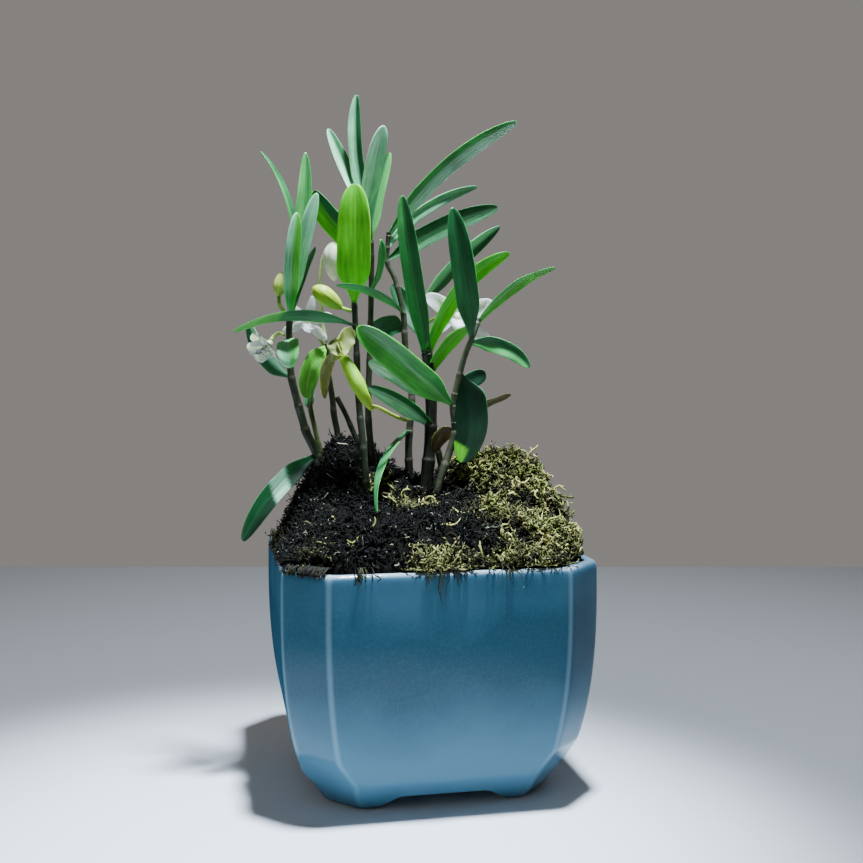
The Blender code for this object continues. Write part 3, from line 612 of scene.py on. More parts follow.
CANES = (
    Cane("cane_outer_left", 1.6, 0.9, (
        (-28, -4.5, 89), (-32.3, -6, 98.9), (-34.2, -6.5, 102.9), (-35.6, -7, 107.7),
        (-37.7, -9, 116.6), (-38.5, -9.5, 121.4), (-38.9, -10, 132.3), (-38.6, -10, 137.2),
        (-38.2, -10, 142.5),
    ), (
        Leaf(141, (-47.5, -6, 186.5), 4, 72, (4.5, 0, 3), Tint.MID, Tint.DARK),
        Leaf(142, (-33.5, -12, 185), 4.8, 20, (1, -1, 0), Tint.SOFT, Tint.MID, 1.5),
        Leaf(140, (-30, -14, 173), 4.2, -10, (0, -1, 1), Tint.PALE, Tint.PALE),
        Leaf(138, (-35.5, -17, 167), 4.4, 30, (-0.5, -2, 0), Tint.PALE, Tint.FRESH),
        Leaf(136, (-31.5, -6, 158.5), 4, 70, (-1, 0, 1), Tint.DEEP, Tint.DEEP),
        Leaf(120, (-52, -2, 136.5), 5.5, -35, (-1.5, 0, -1.5), Tint.DEEP, Tint.PALE),
        Leaf(131, (-38, -16, 122.5), 6, 0, (0, -2.5, 1), Tint.SOFT, Tint.PALE, 1.7),
        Leaf(96.5, (-52, -16, 72), 5.4, 0, (-1.5, -2, 2), Tint.DARKEST, Tint.DEEP, 2,
             PaintedLight(0.34, 0.52, "93cda6")),
    )),
    Cane("cane_inner_left", 0.9, 0.7, (
        (-28, 1, 90), (-31, 1, 97.5), (-32.7, 1, 104.5), (-34, 2, 110),
        (-34, 3, 114.5), (-33, 4, 121),
    ), (
        # tinted dark, partly painted shade that dims the lamp's highlight on this small leaf
        Leaf(110, (-34.5, 7, 116), 3.2, -25, (0, 0, 0), Tint.DEEP, Tint.DEEP),
    ), "42522a"),
    Cane("cane_left_middle", 1.2, 0.8, (
        (-23, 2, 91.5), (-25, 3, 97.5), (-26, 4, 103), (-27, 4, 108),
        (-27.5, 4, 113.5), (-28.5, 3, 120.5), (-29, 2, 130),
    ), (
        Leaf(129, (-34.5, -4, 113.5), 5.6, -15, (-1.5, -2, 1), Tint.SPRING, Tint.SPRING),
    )),
    Cane("cane_crooked_bare", 0.95, 0.8, (
        (-15.5, 5, 88.5), (-19, 5, 97.5), (-21.5, 6, 103.5), (-24, 7, 109),
        (-26.5, 8, 113.5),
    ), (), "1f2416"),
    Cane("cane_front", 1.15, 0.9, (
        (-15, -17, 81.5), (-16, -16, 90), (-17, -15, 101.5), (-18, -14, 110.5),
        (-18.5, -13, 119), (-19, -12, 130.5), (-19.5, -12, 141.5),
    ), (
        Leaf(141, (-19, -15, 175.5), 9.4, -12, (0.3, -1, 0), Tint.LIME, Tint.LIME),
        Leaf(135, (-54.5, -15.5, 133), 5, -60, (0, -1.5, 4.5), Tint.DARK, Tint.DEEP, 1.6,
             PaintedLight(0.6, 1.2, "4a9a40")),
    ), "222a1b"),
    Cane("cane_tall_left", 1.15, 0.75, (
        (-13, -6, 86), (-15, -5, 98), (-16, -4, 110), (-15.5, -3, 128),
        (-15, -3, 147.5), (-15, -3, 159.5), (-16.5, -2, 171.5),
    ), (
        Leaf(169.5, (-28.5, 5, 195.5), 4, 15, (-0.3, 0, -0.5), Tint.PALE, Tint.DARK),
        Leaf(171, (-19.5, 2, 205), 4.4, -25, (-1.5, 0, 0), Tint.PALE, Tint.DEEP),
        Leaf(170.5, (-10.8, -9, 193.3), 5, 20, (-0.5, -1.5, 0.5), Tint.PAINTED_HIGHLIGHT, Tint.PALE),
        Leaf(160, (-9.5, 1, 187.5), 4.6, -30, (-0.5, 0, 0), Tint.DEEP, Tint.SOFT),
        Leaf(156.5, (-31.8, -7, 174.8), 6.6, -20, (-2, -1, -0.5), Tint.LIME, Tint.DEEP),
        Leaf(146, (-12, -8, 160.5), 3.6, 60, (1, 0, 0), Tint.MID, Tint.MID),
    )),
    Cane("cane_tall_middle", 1.35, 0.75, (
        (-3.5, 3, 84.5), (-4, 3, 99), (-3, 3, 114.5), (-5, 3, 129.5),
        (-5.5, 3, 139), (-8, 4, 149.5), (-10.5, 4, 155), (-10, 4, 164),
    ), (
        Leaf(163, (29, 2, 197), 4.8, 25, (-2.5, 0, 3), Tint.MID, Tint.PAINTED_HIGHLIGHT),
        Leaf(159.5, (17.5, 14, 179.5), 3.2, 20, (-2, 0, 2.5), Tint.PALE, Tint.PALE),
        Leaf(155.5, (23.5, 7, 172), 5.6, 10, (-1, 0, 1.5), Tint.DEEP, Tint.PALE),
        Leaf(139.5, (-24, -21, 146), 3.6, -58, (1, -6.5, 2), Tint.MID, Tint.DARK),
        Leaf(134, (-16, 10, 131.5), 7, 10, (0, 1, 2), Tint.DEEP, Tint.DEEP),
        Leaf(103.5, (-12, -31, 82), 3.2, 55, (-3, -4, 1.5), Tint.MID, Tint.DARK, 1.5),
    ), "3f4233"),
    Cane("cane_old_middle", 2.2, 1.6, (
        (1, -3, 84), (2.5, -2, 98), (3, -2, 110), (2.5, -2, 120.5),
        (1.5, -3, 128),
    ), (
        Leaf(127.5, (-5.5, -10, 173), 5.4, -5, (-0.5, -1, 0), Tint.MID, Tint.DEEP),
        Leaf(127, (26.5, -3, 157), 5.2, 35, (-2.5, 0, 4.5), Tint.FRESH, Tint.LIME),
        Leaf(121.5, (14.5, -3, 135), 4.6, 40, (-1, 0, 1.5), Tint.FRESH, Tint.LIME),
        Leaf(114, (-15.5, -10, 124.5), 5.6, -30, (0, -1, 1), Tint.PAINTED_HIGHLIGHT, Tint.PALE),
        Leaf(105.5, (-15.5, -9, 117), 5.6, -35, (0, -1, 1.5), Tint.PALE, Tint.DEEP),
    ), "1c1f16"),
    Cane("cane_back_right", 1.1, 0.8, (
        (7, 11, 87.5), (4.5, 12, 100), (2.5, 12, 112.5), (1, 12, 130),
        (0, 11, 143),
    ), (
        Leaf(142.5, (24.5, 13, 167), 4.6, 30, (-1, 0, 1), Tint.PALE, Tint.DEEP),
        Leaf(131, (-9.5, 20, 149.5), 5, 0, (0, 1, 1), Tint.DEEP, Tint.DEEP),
    )),
    Cane("cane_right", 1.4, 0.8, (
        (4, -11, 84), (6.5, -10, 92.5), (8.5, -9, 98), (10, -9, 104),
        (9.5, -9, 111.5), (11, -9, 119), (13, -9, 126.5), (15.5, -9, 132.5),
        (17, -8, 137),
    ), (
        Leaf(131, (9, -16, 168.5), 6.4, 8, (0.5, -1, 0), Tint.DARK, Tint.DEEP),
        Leaf(136, (40, -5, 152.5), 4.2, 50, (-1, 0, 2.5), Tint.SOFT, Tint.FRESH, 1.5),
        Leaf(130, (31.5, -14, 122.5), 4.3, 0, (1.5, 0, 2), Tint.DEEP, Tint.MID, 1.7),
        Leaf(111.5, (-18, -23, 134), 7.8, -10, (0, -2.5, 0.5), Tint.LEAFY, Tint.MID, 2.6),
        Leaf(121, (11.8, -10.5, 94.5), 9.6, 10, (3.2, 0.5, 0), Tint.DARKEST, Tint.DARKEST, 2,
             PaintedLight(0.84, 1.2, "62c828", 1)),
        Leaf(115, (19.5, -1, 120.5), 4.4, 0, (0, 0, 1), Tint.DARKEST, Tint.DARKEST, 2.8),
        Leaf(106.5, (27.5, 3, 114.5), 3.4, 50, (0, 1.5, 1), Tint.OLIVE, Tint.OLIVE, 1.6),
        Leaf(104, (4, -6, 97.5), 4, 0, (-1, 0, 1.5), Tint.WITHERED, Tint.WITHERED, 1.6),
    ), "4a4f3c"),
)


def petal_profile(width: float, root_width: float, full: float) -> Callable[[float], float]:
    """Half width of a petal along its length.

    Args:
        width: its greatest width.
        root_width: its width at the heart.
        full: share of its length where it is widest.

    Returns:
        A function from the share of the length to the half width.
    """
    def half(share: float) -> float:
        """Half the width at a share of the length."""
        if share < full:
            return (root_width + (width - root_width) * ease(share / full)) / 2
        return width * max(0.0, 1 - ((share - full) / (1 - full)) ** 2.2) ** 0.5 / 2
    return half


def turn_to_face(root: Vector, tip: Vector, facing: Vector) -> float:
    """Finds how far a blade is turned about its line to face a direction.

    Args:
        root: the blade's root.
        tip: the blade's tip.
        facing: the direction.

    Returns:
        The turn in degrees.
    """
    line = (tip - root).normalized()
    front = turned(FRONT)
    front = (front - line * front.dot(line)).normalized()
    wanted = (facing - line * facing.dot(line)).normalized()
    return math.degrees(math.atan2(line.dot(front.cross(wanted)), front.dot(wanted)))


@dataclass(frozen=True)
class Bloom:
    """An open flower of three sepals, two petals and a lip, with its stalk."""

    THICKNESS = 0.42  # of its petals
    BOW = 0.08  # how far its petals bow toward the viewer, as a share of its size
    LIP_WAY = (0.75, -0.66)  # where the lip points: shares along the flower's face and up
    LIP_BOW = 0.2  # and how far it bows, as a share of the lip

    name: str
    stalk: tuple[Triple, ...]
    heart: Triple
    facing: Triple
    up: Triple
    size: float
    lip: float
    white: str = "f2f4e6"
    column_tint: str = "dfe6c0"  # of the column in its heart
    stalk_tint: str = "9fb061"
    # angle about the heart, length, width, lift toward the viewer, all as shares of the size
    tepals: tuple[tuple[float, float, float, float], ...] = (
        (90, 1.0, 0.34, 0.10), (212, 1.0, 0.36, 0.05), (328, 1.0, 0.36, 0.05),
        (28, 0.95, 0.44, 0.20), (152, 0.95, 0.44, 0.20),
    )
    heart_share: float = 0.16
    stalk_radius: float = 0.55

    def build(self, petals: Look, green: Look) -> None:
        """Makes the flower and its stalk as two pieces.

        Args:
            petals: the petals' finish.
            green: the stalk's finish.
        """
        draw = random.Random(self.name)
        heart, facing, up = at(self.heart), turned(self.facing).normalized(), turned(self.up)
        up = (up - facing * up.dot(facing)).normalized()
        right = up.cross(facing)
        form = Form(f"bloom_{self.name}_open")
        for degrees, length, width, lift in self.tepals:
            angle = math.radians(degrees)
            out = right * math.cos(angle) + up * math.sin(angle)
            tip = heart + (out * length + facing * lift) * self.size
            Blade(heart, tip, facing * self.BOW * self.size, turn_to_face(heart, tip, facing),
                  petal_profile(width * self.size, root_width=1.2, full=0.52), fold=0.06, cup=0.22,
                  wave=0.25, waves=draw.uniform(1.4, 2.2), twist=draw.uniform(-20, 20),
                  thickness=self.THICKNESS, rows=26, columns=20).lay(form, self.white)
        tip = heart + (facing * self.LIP_WAY[0] + up * self.LIP_WAY[1]) * self.lip
        Blade(heart, tip, facing * self.LIP_BOW * self.lip, turn_to_face(heart, tip, up),
              petal_profile(0.85 * self.lip, root_width=1.6, full=0.6), fold=0.0, cup=0.5, wave=0.4,
              waves=3.5, thickness=self.THICKNESS, rows=26, columns=26).lay(form, self.white)
        reach = self.heart_share * self.size
        column = Line([heart - facing * reach, heart, heart + facing * reach * 0.9 + up * reach * 0.25], 5)
        form.tube(column, lambda length: reach * (1.05 - 0.5 * length / column.lengths[-1]), 14,
                  self.column_tint)
        form.finish([petals], "petal", f"bloom_{self.name}")
        points = [at(point) for point in self.stalk]
        stem = Form(f"stalk_{self.name}_thin")
        line = Line([*points, heart + (points[-1] - heart).normalized() * (reach + 0.3)], 6)
        whole = line.lengths[-1]
        stem.tube(line, lambda length: self.stalk_radius * (0.8 + 0.3 * length / whole), 12, self.stalk_tint)
        stem.finish([green], "stalk", f"stalk_{self.name}")


BLOOMS = (
    Bloom("white_right", ((1.9, 11, 137), (4.5, 9.8, 138.2), (8, 8, 138.8)),
          (11, 4.5, 138), (0.1, -1, 0.05), (0.1, 0, 1), 12.5, 7),
    Bloom("white_left", ((-28.8, 4.7, 122.5), (-29.9, 6.5, 127.5), (-32, 6.2, 132.5),
                         (-33.6, 3.6, 135.6)),
          (-34.5, -1.5, 136.5), (0.25, -1, -0.1), (0.2, 0, 1), 8, 4.5),
    Bloom("half_open", ((-40.3, -9.9, 132), (-41.8, -9.6, 132.9), (-43.4, -9.6, 132)),
          (-44.8, -11, 129.6), (-0.5, -0.8, -0.5), (-0.4, 0, 1), 5.8, 3.2, white="c9d6bc",
          tepals=((90, 0.9, 0.9, 0.5), (212, 0.85, 0.85, 0.6), (328, 0.85, 0.85, 0.6),
                  (28, 0.85, 0.85, 0.7), (152, 0.85, 0.85, 0.7))),
)


@dataclass(frozen=True)
class Bud:
    """A closed bud on its curved stalk."""

    SEAMS = 1.5  # half the number of its seams
    SEAM_DEPTH = 0.1  # as a share of its radius
    RIB = 0.05  # height of the fine ribs along it
    RIBS = 12
    SEAT = 0.12  # share of its length that the stalk reaches into

    name: str
    stalk: tuple[Triple, ...]
    base: Triple
    tip: Triple
    radius: float
    fullest: float
    tint: str
    stalk_tint: str
    stalk_radius: float = 0.55

    def build(self, look: Look) -> None:
        """Makes the bud and its stalk as one piece.

        Args:
            look: the bud's finish.
        """
        base, tip = at(self.base), at(self.tip)
        form = Form(self.name + "_grown")
        points = [at(point) for point in self.stalk]
        line = Line([*points, base.lerp(tip, self.SEAT)], 6)
        form.tube(line, lambda length: self.stalk_radius, 12, self.stalk_tint)
        axis = Line([base.lerp(tip, share / 24) for share in range(25)])

        def spot(along: float, around: float) -> tuple[Vector, Vector]:
            """A point of the bud, with a seam between two sepals."""
            place, first, second = axis.at_length(along * axis.lengths[-1])
            side = along / self.fullest if along < self.fullest else (1 - along) / (1 - self.fullest)
            angle = around * math.tau
            seam = abs(math.sin(self.SEAMS * angle)) ** 0.35
            reach = self.radius * math.sin(min(1.0, side) * math.pi / 2) ** 0.6
            reach *= 1 - self.SEAM_DEPTH + self.SEAM_DEPTH * seam
            reach += self.RIB * math.sin(self.RIBS * angle) * math.sin(along * math.pi)
            out = first * math.cos(angle) + second * math.sin(angle)
            strip = Vector((math.cos(self.SEAMS * angle), along * (tip - base).length, along))
            return place + out * max(0.0, reach), strip

        form.loft(28, 48, spot, self.tint)
        form.finish([look], "bud", self.name)


BUDS = (
    Bud("bud_yellow_green", ((-20.7, -10.9, 139.3), (-22.2, -9.6, 139.8), (-23.6, -8.7, 140.3)),
        (-23.2, -8.9, 140.1), (-32, -8.5, 146.5), 2.8, 0.62, "b5cf3a", "8fb33a"),
    Bud("bud_hooded", ((-29.1, 2.1, 130.5), (-30.6, 3.8, 138), (-31.2, 4, 148.5),
                       (-30.2, 3.6, 156), (-27.6, 3, 159.4)),
        (-27, 3, 161), (-26.6, 3, 149), 3.3, 0.38, "f4f3e2", "cbd79a"),
    Bud("bud_small_left", ((-39.8, -9, 138.4), (-41.8, -8, 141), (-42.2, -7.5, 144)),
        (-42.2, -7.5, 143.4), (-41.4, -7, 151), 2, 0.45, "d3e272", "7c9a3c"),
)


@dataclass(frozen=True)
class FadingBloom:
    """The flower that fades in front: a green chin with limp sepals and petals at its mouth."""

    stalk: tuple[Triple, ...] = ((-3.6, 1.2, 107), (-5, -4, 107), (-8, -11, 108.5),
                                 (-12, -18, 111))
    stalk_radius: float = 0.55
    stalk_tint: str = "9db14a"
    chin: tuple[Triple, ...] = ((-13.8, -20.2, 110.6), (-14.8, -20, 111.8), (-16.4, -19.4, 114.6),
                                (-19, -18, 119.5), (-22.3, -16.2, 125.5))
    radii: tuple[float, ...] = (0.7, 1.7, 2.2, 2, 1.4)
    chin_tint: str = "86b81c"
    # tip, width, turn, bow, tint
    tepals: tuple[tuple[Triple, float, float, Triple, str], ...] = (
        ((-20.6, -13, 134.4), 5.4, 10, (-0.5, 0.5, 0), "87934e"),
        ((-28.2, -12.5, 113.5), 3.6, -10, (-1.8, 1, 4.5), "6f7338"),
        ((-26, -13, 130.5), 4.4, 0, (-0.5, 0, 0.5), "74803f"),
    )

    def build(self, look: Look) -> None:
        """Makes the fading flower as one piece.

        Args:
            look: its finish.
        """
        form = Form("bloom_fading_limp")
        chin = Line([at(point) for point in self.chin], 6)
        stalk = Line([*(at(point) for point in self.stalk), at(self.chin[1])], 6)
        form.tube(stalk, lambda length: self.stalk_radius, 12, self.stalk_tint)

        def radius(length: float) -> float:
            """The chin's radius, smooth between those of its points."""
            share = length / chin.lengths[-1] * (len(self.radii) - 1)
            index = min(int(share), len(self.radii) - 2)
            return self.radii[index] + (self.radii[index + 1] - self.radii[index]) * ease(share - index)

        form.tube(chin, radius, 24, self.chin_tint)
        for tip, width, turn, bow, tint in self.tepals:
            Blade(at(self.chin[-1]), at(tip), turned(bow), turn,
                  petal_profile(width, root_width=1.6, full=0.5), fold=0.1, cup=0.3, wave=0.5,
                  waves=2.2, twist=25, thickness=0.4).lay(form, tint)
        form.finish([look], "faded_flower", "bloom_fading")


class Ring(Enum):
    """Kinds of rings that the pot's shell is laid in."""

    ROUND = "round the drain hole"
    UNDER = "on the underside, where the arches lift it"
    WALL = "up the outside, over the rim and down the inside"


class Mark(Enum):
    """What the place of a point on a ring is measured from."""

    SIDE = "the middle of the side"
    FROM_CORNER = "the side's first end"
    TO_CORNER = "the side's last end"
    CUT = "an end of the cut corner, the far one if below 0"


@dataclass(frozen=True)
class Pot:
    """The glazed pot: a square with cut corners, a soft swell, a rolled rim and four feet."""

    height: float = 68.0
    corner_share: float = 0.26
    crease: float = 16.0
    foot_half: float = 31.6
    foot_cut: float = 8.0
    foot_edge: float = 0.6  # how far the feet's underside is drawn in
    outside: tuple[Span, ...] = (
        (0, 31.6), (1.6, 33.3), (5.8, 35.9), (8.8, 38.7), (12.4, 39.8), (16, 40.9),
        (20, 41.9), (25, 42.9), (31, 43.8), (38, 44.5), (46, 45), (56, 45.1),
        (66.8, 45), (68, 44.2),
    )
    inside: tuple[Span, ...] = (
        (8.5, 34), (13, 36.6), (20, 38.6), (30, 40.4), (45, 41.6), (60, 41.7), (66.8, 41.7),
    )
    floor: float = 8.5
    floor_half: float = 33.0
    arch_height: float = 3.9
    arch_top: float = 12.5
    arch_foot: float = 18.5
    drain: float = 5.0
    blend: float = 5.8  # height where the arch's pull on the wall ends
    outer_heights: tuple[float, ...] = (
        0.35, 1.2, 2.6, 4.4, 5.8, 7.3, 8.3, 9.3, 10.8, 12.4, 14.4, 15.6, 16.6, 18.5, 22, 27, 33,
        40, 48, 56, 62, 65.6,
    )
    rim: tuple[Span, ...] = (
        (66.8, 44.9), (67.6, 44.5), (68, 43.8), (68, 42.8), (67.6, 42.1), (66.8, 41.8),
    )
    inner_heights: tuple[float, ...] = (63, 52, 40, 30, 20, 13, 9.6)
    corner_support: float = 3.3  # how far from a corner the edges lie that keep it firm
    # and how far from a side's middle those lie that shape the arch and its feet
    arch_marks: tuple[float, ...] = (20, 18.5, 17.5, 13.5, 12.5, 11.2)
    outer_from: float = 30.0  # half width of the narrowest ring of the wall and its foot

    def half_at(self, height: float) -> float:
        """Half width of the outside at a height."""
        return lookup(self.outside, height)

    def corner_cut(self, height: float, half: float) -> float:
        """Sizes the cut corner: a share of the width, and below the crease one slanted plane.

        Args:
            height: of the ring.
            half: half width of the ring.

        Returns:
            How far the cut reaches along each side.
        """
        if height >= self.crease:
            return self.corner_share * half
        top = (2 - self.corner_share) * self.half_at(self.crease)
        bottom = 2 * self.foot_half - self.foot_cut
        return 2 * half - (bottom + (top - bottom) * height / self.crease)

    def arch(self, across: float) -> float:
        """Height of the gap between two feet at a distance from its middle."""
        slope = (self.arch_foot - abs(across)) / (self.arch_foot - self.arch_top)
        return self.arch_height * max(0.0, min(1.0, slope))

    def rows(self) -> list[tuple[Ring, float, float, float]]:
        """Lists the pot's rings from the drain hole out, up, over the rim and back to the hole.

        Returns:
            The kind, height, half width and corner cut of each.
        """
        rows = [(Ring.ROUND, self.arch_height, self.drain, 0.0), (Ring.UNDER, 0.0, self.arch_top, 0.0),
                (Ring.UNDER, 0.0, self.arch_foot, 0.0), (Ring.UNDER, 0.0, self.foot_half - self.foot_edge,
                                                         self.foot_cut)]
        for height in self.outer_heights:
            half = self.half_at(height)
            rows.append((Ring.WALL, height, half, self.corner_cut(height, half)))
        rows += [(Ring.WALL, height, half, self.corner_share * half) for height, half in self.rim]
        inside = [(height, lookup(self.inside, height)) for height in self.inner_heights]
        for height, half in (*inside, (self.floor, self.floor_half)):
            rows.append((Ring.WALL, height, half, self.corner_share * half))
        rows.append((Ring.ROUND, self.floor, self.drain, 0.0))
        return rows

    def columns(self) -> list[tuple[Mark, float]]:
        """Places the points of one quarter of a ring: along its side, then along its cut corner.

        Returns:
            For each, what it is measured from and how far it is from there.
        """
        support = self.corner_support
        marks = [-mark for mark in self.arch_marks] + [0.0] + list(reversed(self.arch_marks))
        return [(Mark.FROM_CORNER, 0.0), (Mark.FROM_CORNER, support), *((Mark.SIDE, mark) for mark in marks),
                (Mark.TO_CORNER, support), (Mark.CUT, 0.0), (Mark.CUT, support), (Mark.CUT, -support)]

    def ring_point(self, mark: Mark, value: float, half: float, cut: float) -> Vector:
        """Places a point on the ring's right side or its upper right corner.

        Args:
            mark: what its place is measured from.
            value: how far it is from there.
            half: half width of the ring.
            cut: how far the ring's corner cut reaches along its sides.

        Returns:
            The point, at height 0.
        """
        near = half - cut
        reach = max(near, 0.0)
        if mark is Mark.CUT:
            leg = cut * 2 ** 0.5
            step = value if value >= 0 else leg + value
            share = 0.0 if leg < WELD else max(0.0, min(1.0, step / leg))
            return Vector((half, near, 0)).lerp(Vector((near, half, 0)), share)
        if mark is Mark.FROM_CORNER:
            value = -reach + value
        elif mark is Mark.TO_CORNER:
            value = reach - value
        return Vector((half, max(-reach, min(reach, value)), 0))

    def build(self, glaze: Look) -> Piece:
        """Makes the pot as one smooth closed shell.

        Args:
            glaze: its finish.

        Returns:
            The piece.
        """
        rows, quarter = self.rows(), self.columns()
        count = 4 * len(quarter)

        def spot(along: float, around: float) -> tuple[Vector, Vector]:
            """A point of the shell, ring by ring and side by side."""
            kind, height, half, cut = rows[round(along * len(rows)) % len(rows)]
            turn, column = divmod(round(around * count) % count, len(quarter))
            where, value = quarter[column]
            if kind is Ring.ROUND:
                outer = self.ring_point(where, value, self.foot_half, self.foot_cut)
                place = outer.normalized() * half
            else:
                place = self.ring_point(where, value, half, cut)
            place.z = height
            if kind is Ring.UNDER:
                place.z = max(self.arch(place.x), self.arch(place.y))
            elif kind is Ring.WALL and height < self.blend and self.arch(place.y) > 0:
                lift = self.arch(place.y)
                place.z = lift + (self.blend - lift) * height / self.blend
            low = half > self.outer_from and place.z < self.blend and height < self.blend
            if low and abs(place.y) < self.arch_foot:
                place.x = self.half_at(place.z) - (self.foot_edge if kind is Ring.UNDER else 0.0)
            place = Matrix.Rotation(turn * math.pi / 2, 3, "Z") @ place
            return place + POT_AXIS, Vector((0, 0, place.z))

        form = Form("pot_glazed")
        form.loft(len(rows), count, spot, "4f8aa6")
        piece = form.finish([glaze], "pot_glaze", "pot")
        smooth = piece.modifiers.new("smooth", "SUBSURF")
        smooth.levels = smooth.render_levels = 2
        return piece


class Fibres:
    """Many thin fibres with three sides and pointed ends, made together as one mesh."""

    POLE = 1e-7  # metres between the points that close a fibre's end
    PAINTED_SHADE_TO_LIGHT = (0.35, 1.3)  # how light its tint is at its root and at its tip, painted shade down in the tangle and painted light at the tip
    APART = 0.03  # least distance between its points

    def __init__(self, name: str, shape: Sequence[float]) -> None:
        """Starts an empty tangle.

        Args:
            name: its name.
            shape: the share of a fibre's radius at each of its points.
        """
        self.name = name
        self.shape = np.array(shape)
        self.paths: list[Sequence[Vector]] = []
        self.radii: list[float] = []
        self.tints: list[Sequence[float]] = []

    def add(self, path: Sequence[Vector], radius: float, tint: Sequence[float]) -> None:
        """Adds a fibre.

        Args:
            path: its points, one for each share of the shape.
            radius: its greatest radius.
            tint: its linear colour.
        """
        for start, end in zip(path, path[1:]):
            if (end - start).length < self.APART:
                end.z += 2 * self.APART
        self.paths.append(path)
        self.radii.append(radius)
        self.tints.append(tint)

    @staticmethod
    def guide(name: str, curve: bpy.types.Curve) -> Piece:
        """Puts a helping curve into the scene.

        Args:
            name: its name.
            curve: its line.

        Returns:
            Its object.
        """
        made = bpy.data.objects.new(name, curve)
        bpy.context.scene.collection.objects.link(made)
        return made

    def section(self) -> Piece:
        """Draws the three-sided outline that is swept along each fibre.

        Returns:
            The outline's object.
        """
        outline = bpy.data.curves.new(self.name + "_section", "CURVE")
        triangle = outline.splines.new("POLY")
        triangle.points.add(2)
        corners = [math.radians(angle) for angle in (90, 210, 330)]
        places = [(math.cos(angle) * MM, math.sin(angle) * MM, 0.0, 1.0) for angle in corners]
        triangle.points.foreach_set("co", [part for place in places for part in place])
        triangle.use_cyclic_u = True
        return self.guide(self.name + "_section", outline)

    def finish(self, look: Look, slot: str) -> Piece:
        """Makes the fibres' tubes and writes them as a piece.

        Args:
            look: their finish.
            slot: the record's material slot; passed on, but not used.

        Returns:
            The piece.
        """
        curve = bpy.data.curves.new(self.name, "CURVE")
        curve.dimensions = "3D"
        curve.bevel_mode = "OBJECT"
        curve.bevel_object = self.section()
        joints = len(self.shape)
        for path, radius in zip(self.paths, self.radii):
            spline = curve.splines.new("POLY")
            spline.points.add(joints - 1)
            spline.points.foreach_set("co", [part for spot in path for part in (*(spot * MM), 1.0)])
            spline.points.foreach_set("radius", self.shape * radius)
        guides = [self.guide(self.name + "_guide", curve), curve.bevel_object]
        graph = bpy.context.evaluated_depsgraph_get()
        mesh = bpy.data.meshes.new_from_object(guides[0].evaluated_get(graph))
        for guide in guides:
            bpy.data.objects.remove(guide)
        bpy.data.curves.remove(curve)
        # painted shade toward each fibre's root and painted light toward its tip
        depth = np.linspace(*self.PAINTED_SHADE_TO_LIGHT, joints)[None, :, None]
        tints = np.array(self.tints, np.float32)[:, None, :] * depth
        sides = len(mesh.vertices) // (len(self.paths) * joints)
        tints = np.repeat(tints.reshape(-1, tints.shape[-1]), sides, axis=0).astype(np.float32)
        mesh.attributes.new("tint", "FLOAT_COLOR", "POINT").data.foreach_set("color", tints.ravel())
        bm = bmesh.new()
        bm.from_mesh(mesh)
        bmesh.ops.remove_doubles(bm, verts=bm.verts, dist=self.POLE)
        bmesh.ops.recalc_face_normals(bm, faces=bm.faces)
        bm.to_mesh(mesh)
        bm.free()
        mesh.shade_smooth()
        return add_piece(self.name, mesh, [look], slot)


class Part(Enum):
    """Parts of the mound whose moss is a piece of its own, to keep each piece light."""

    FRONT = "front"
    MIDDLE = "middle"
    BACK = "back"


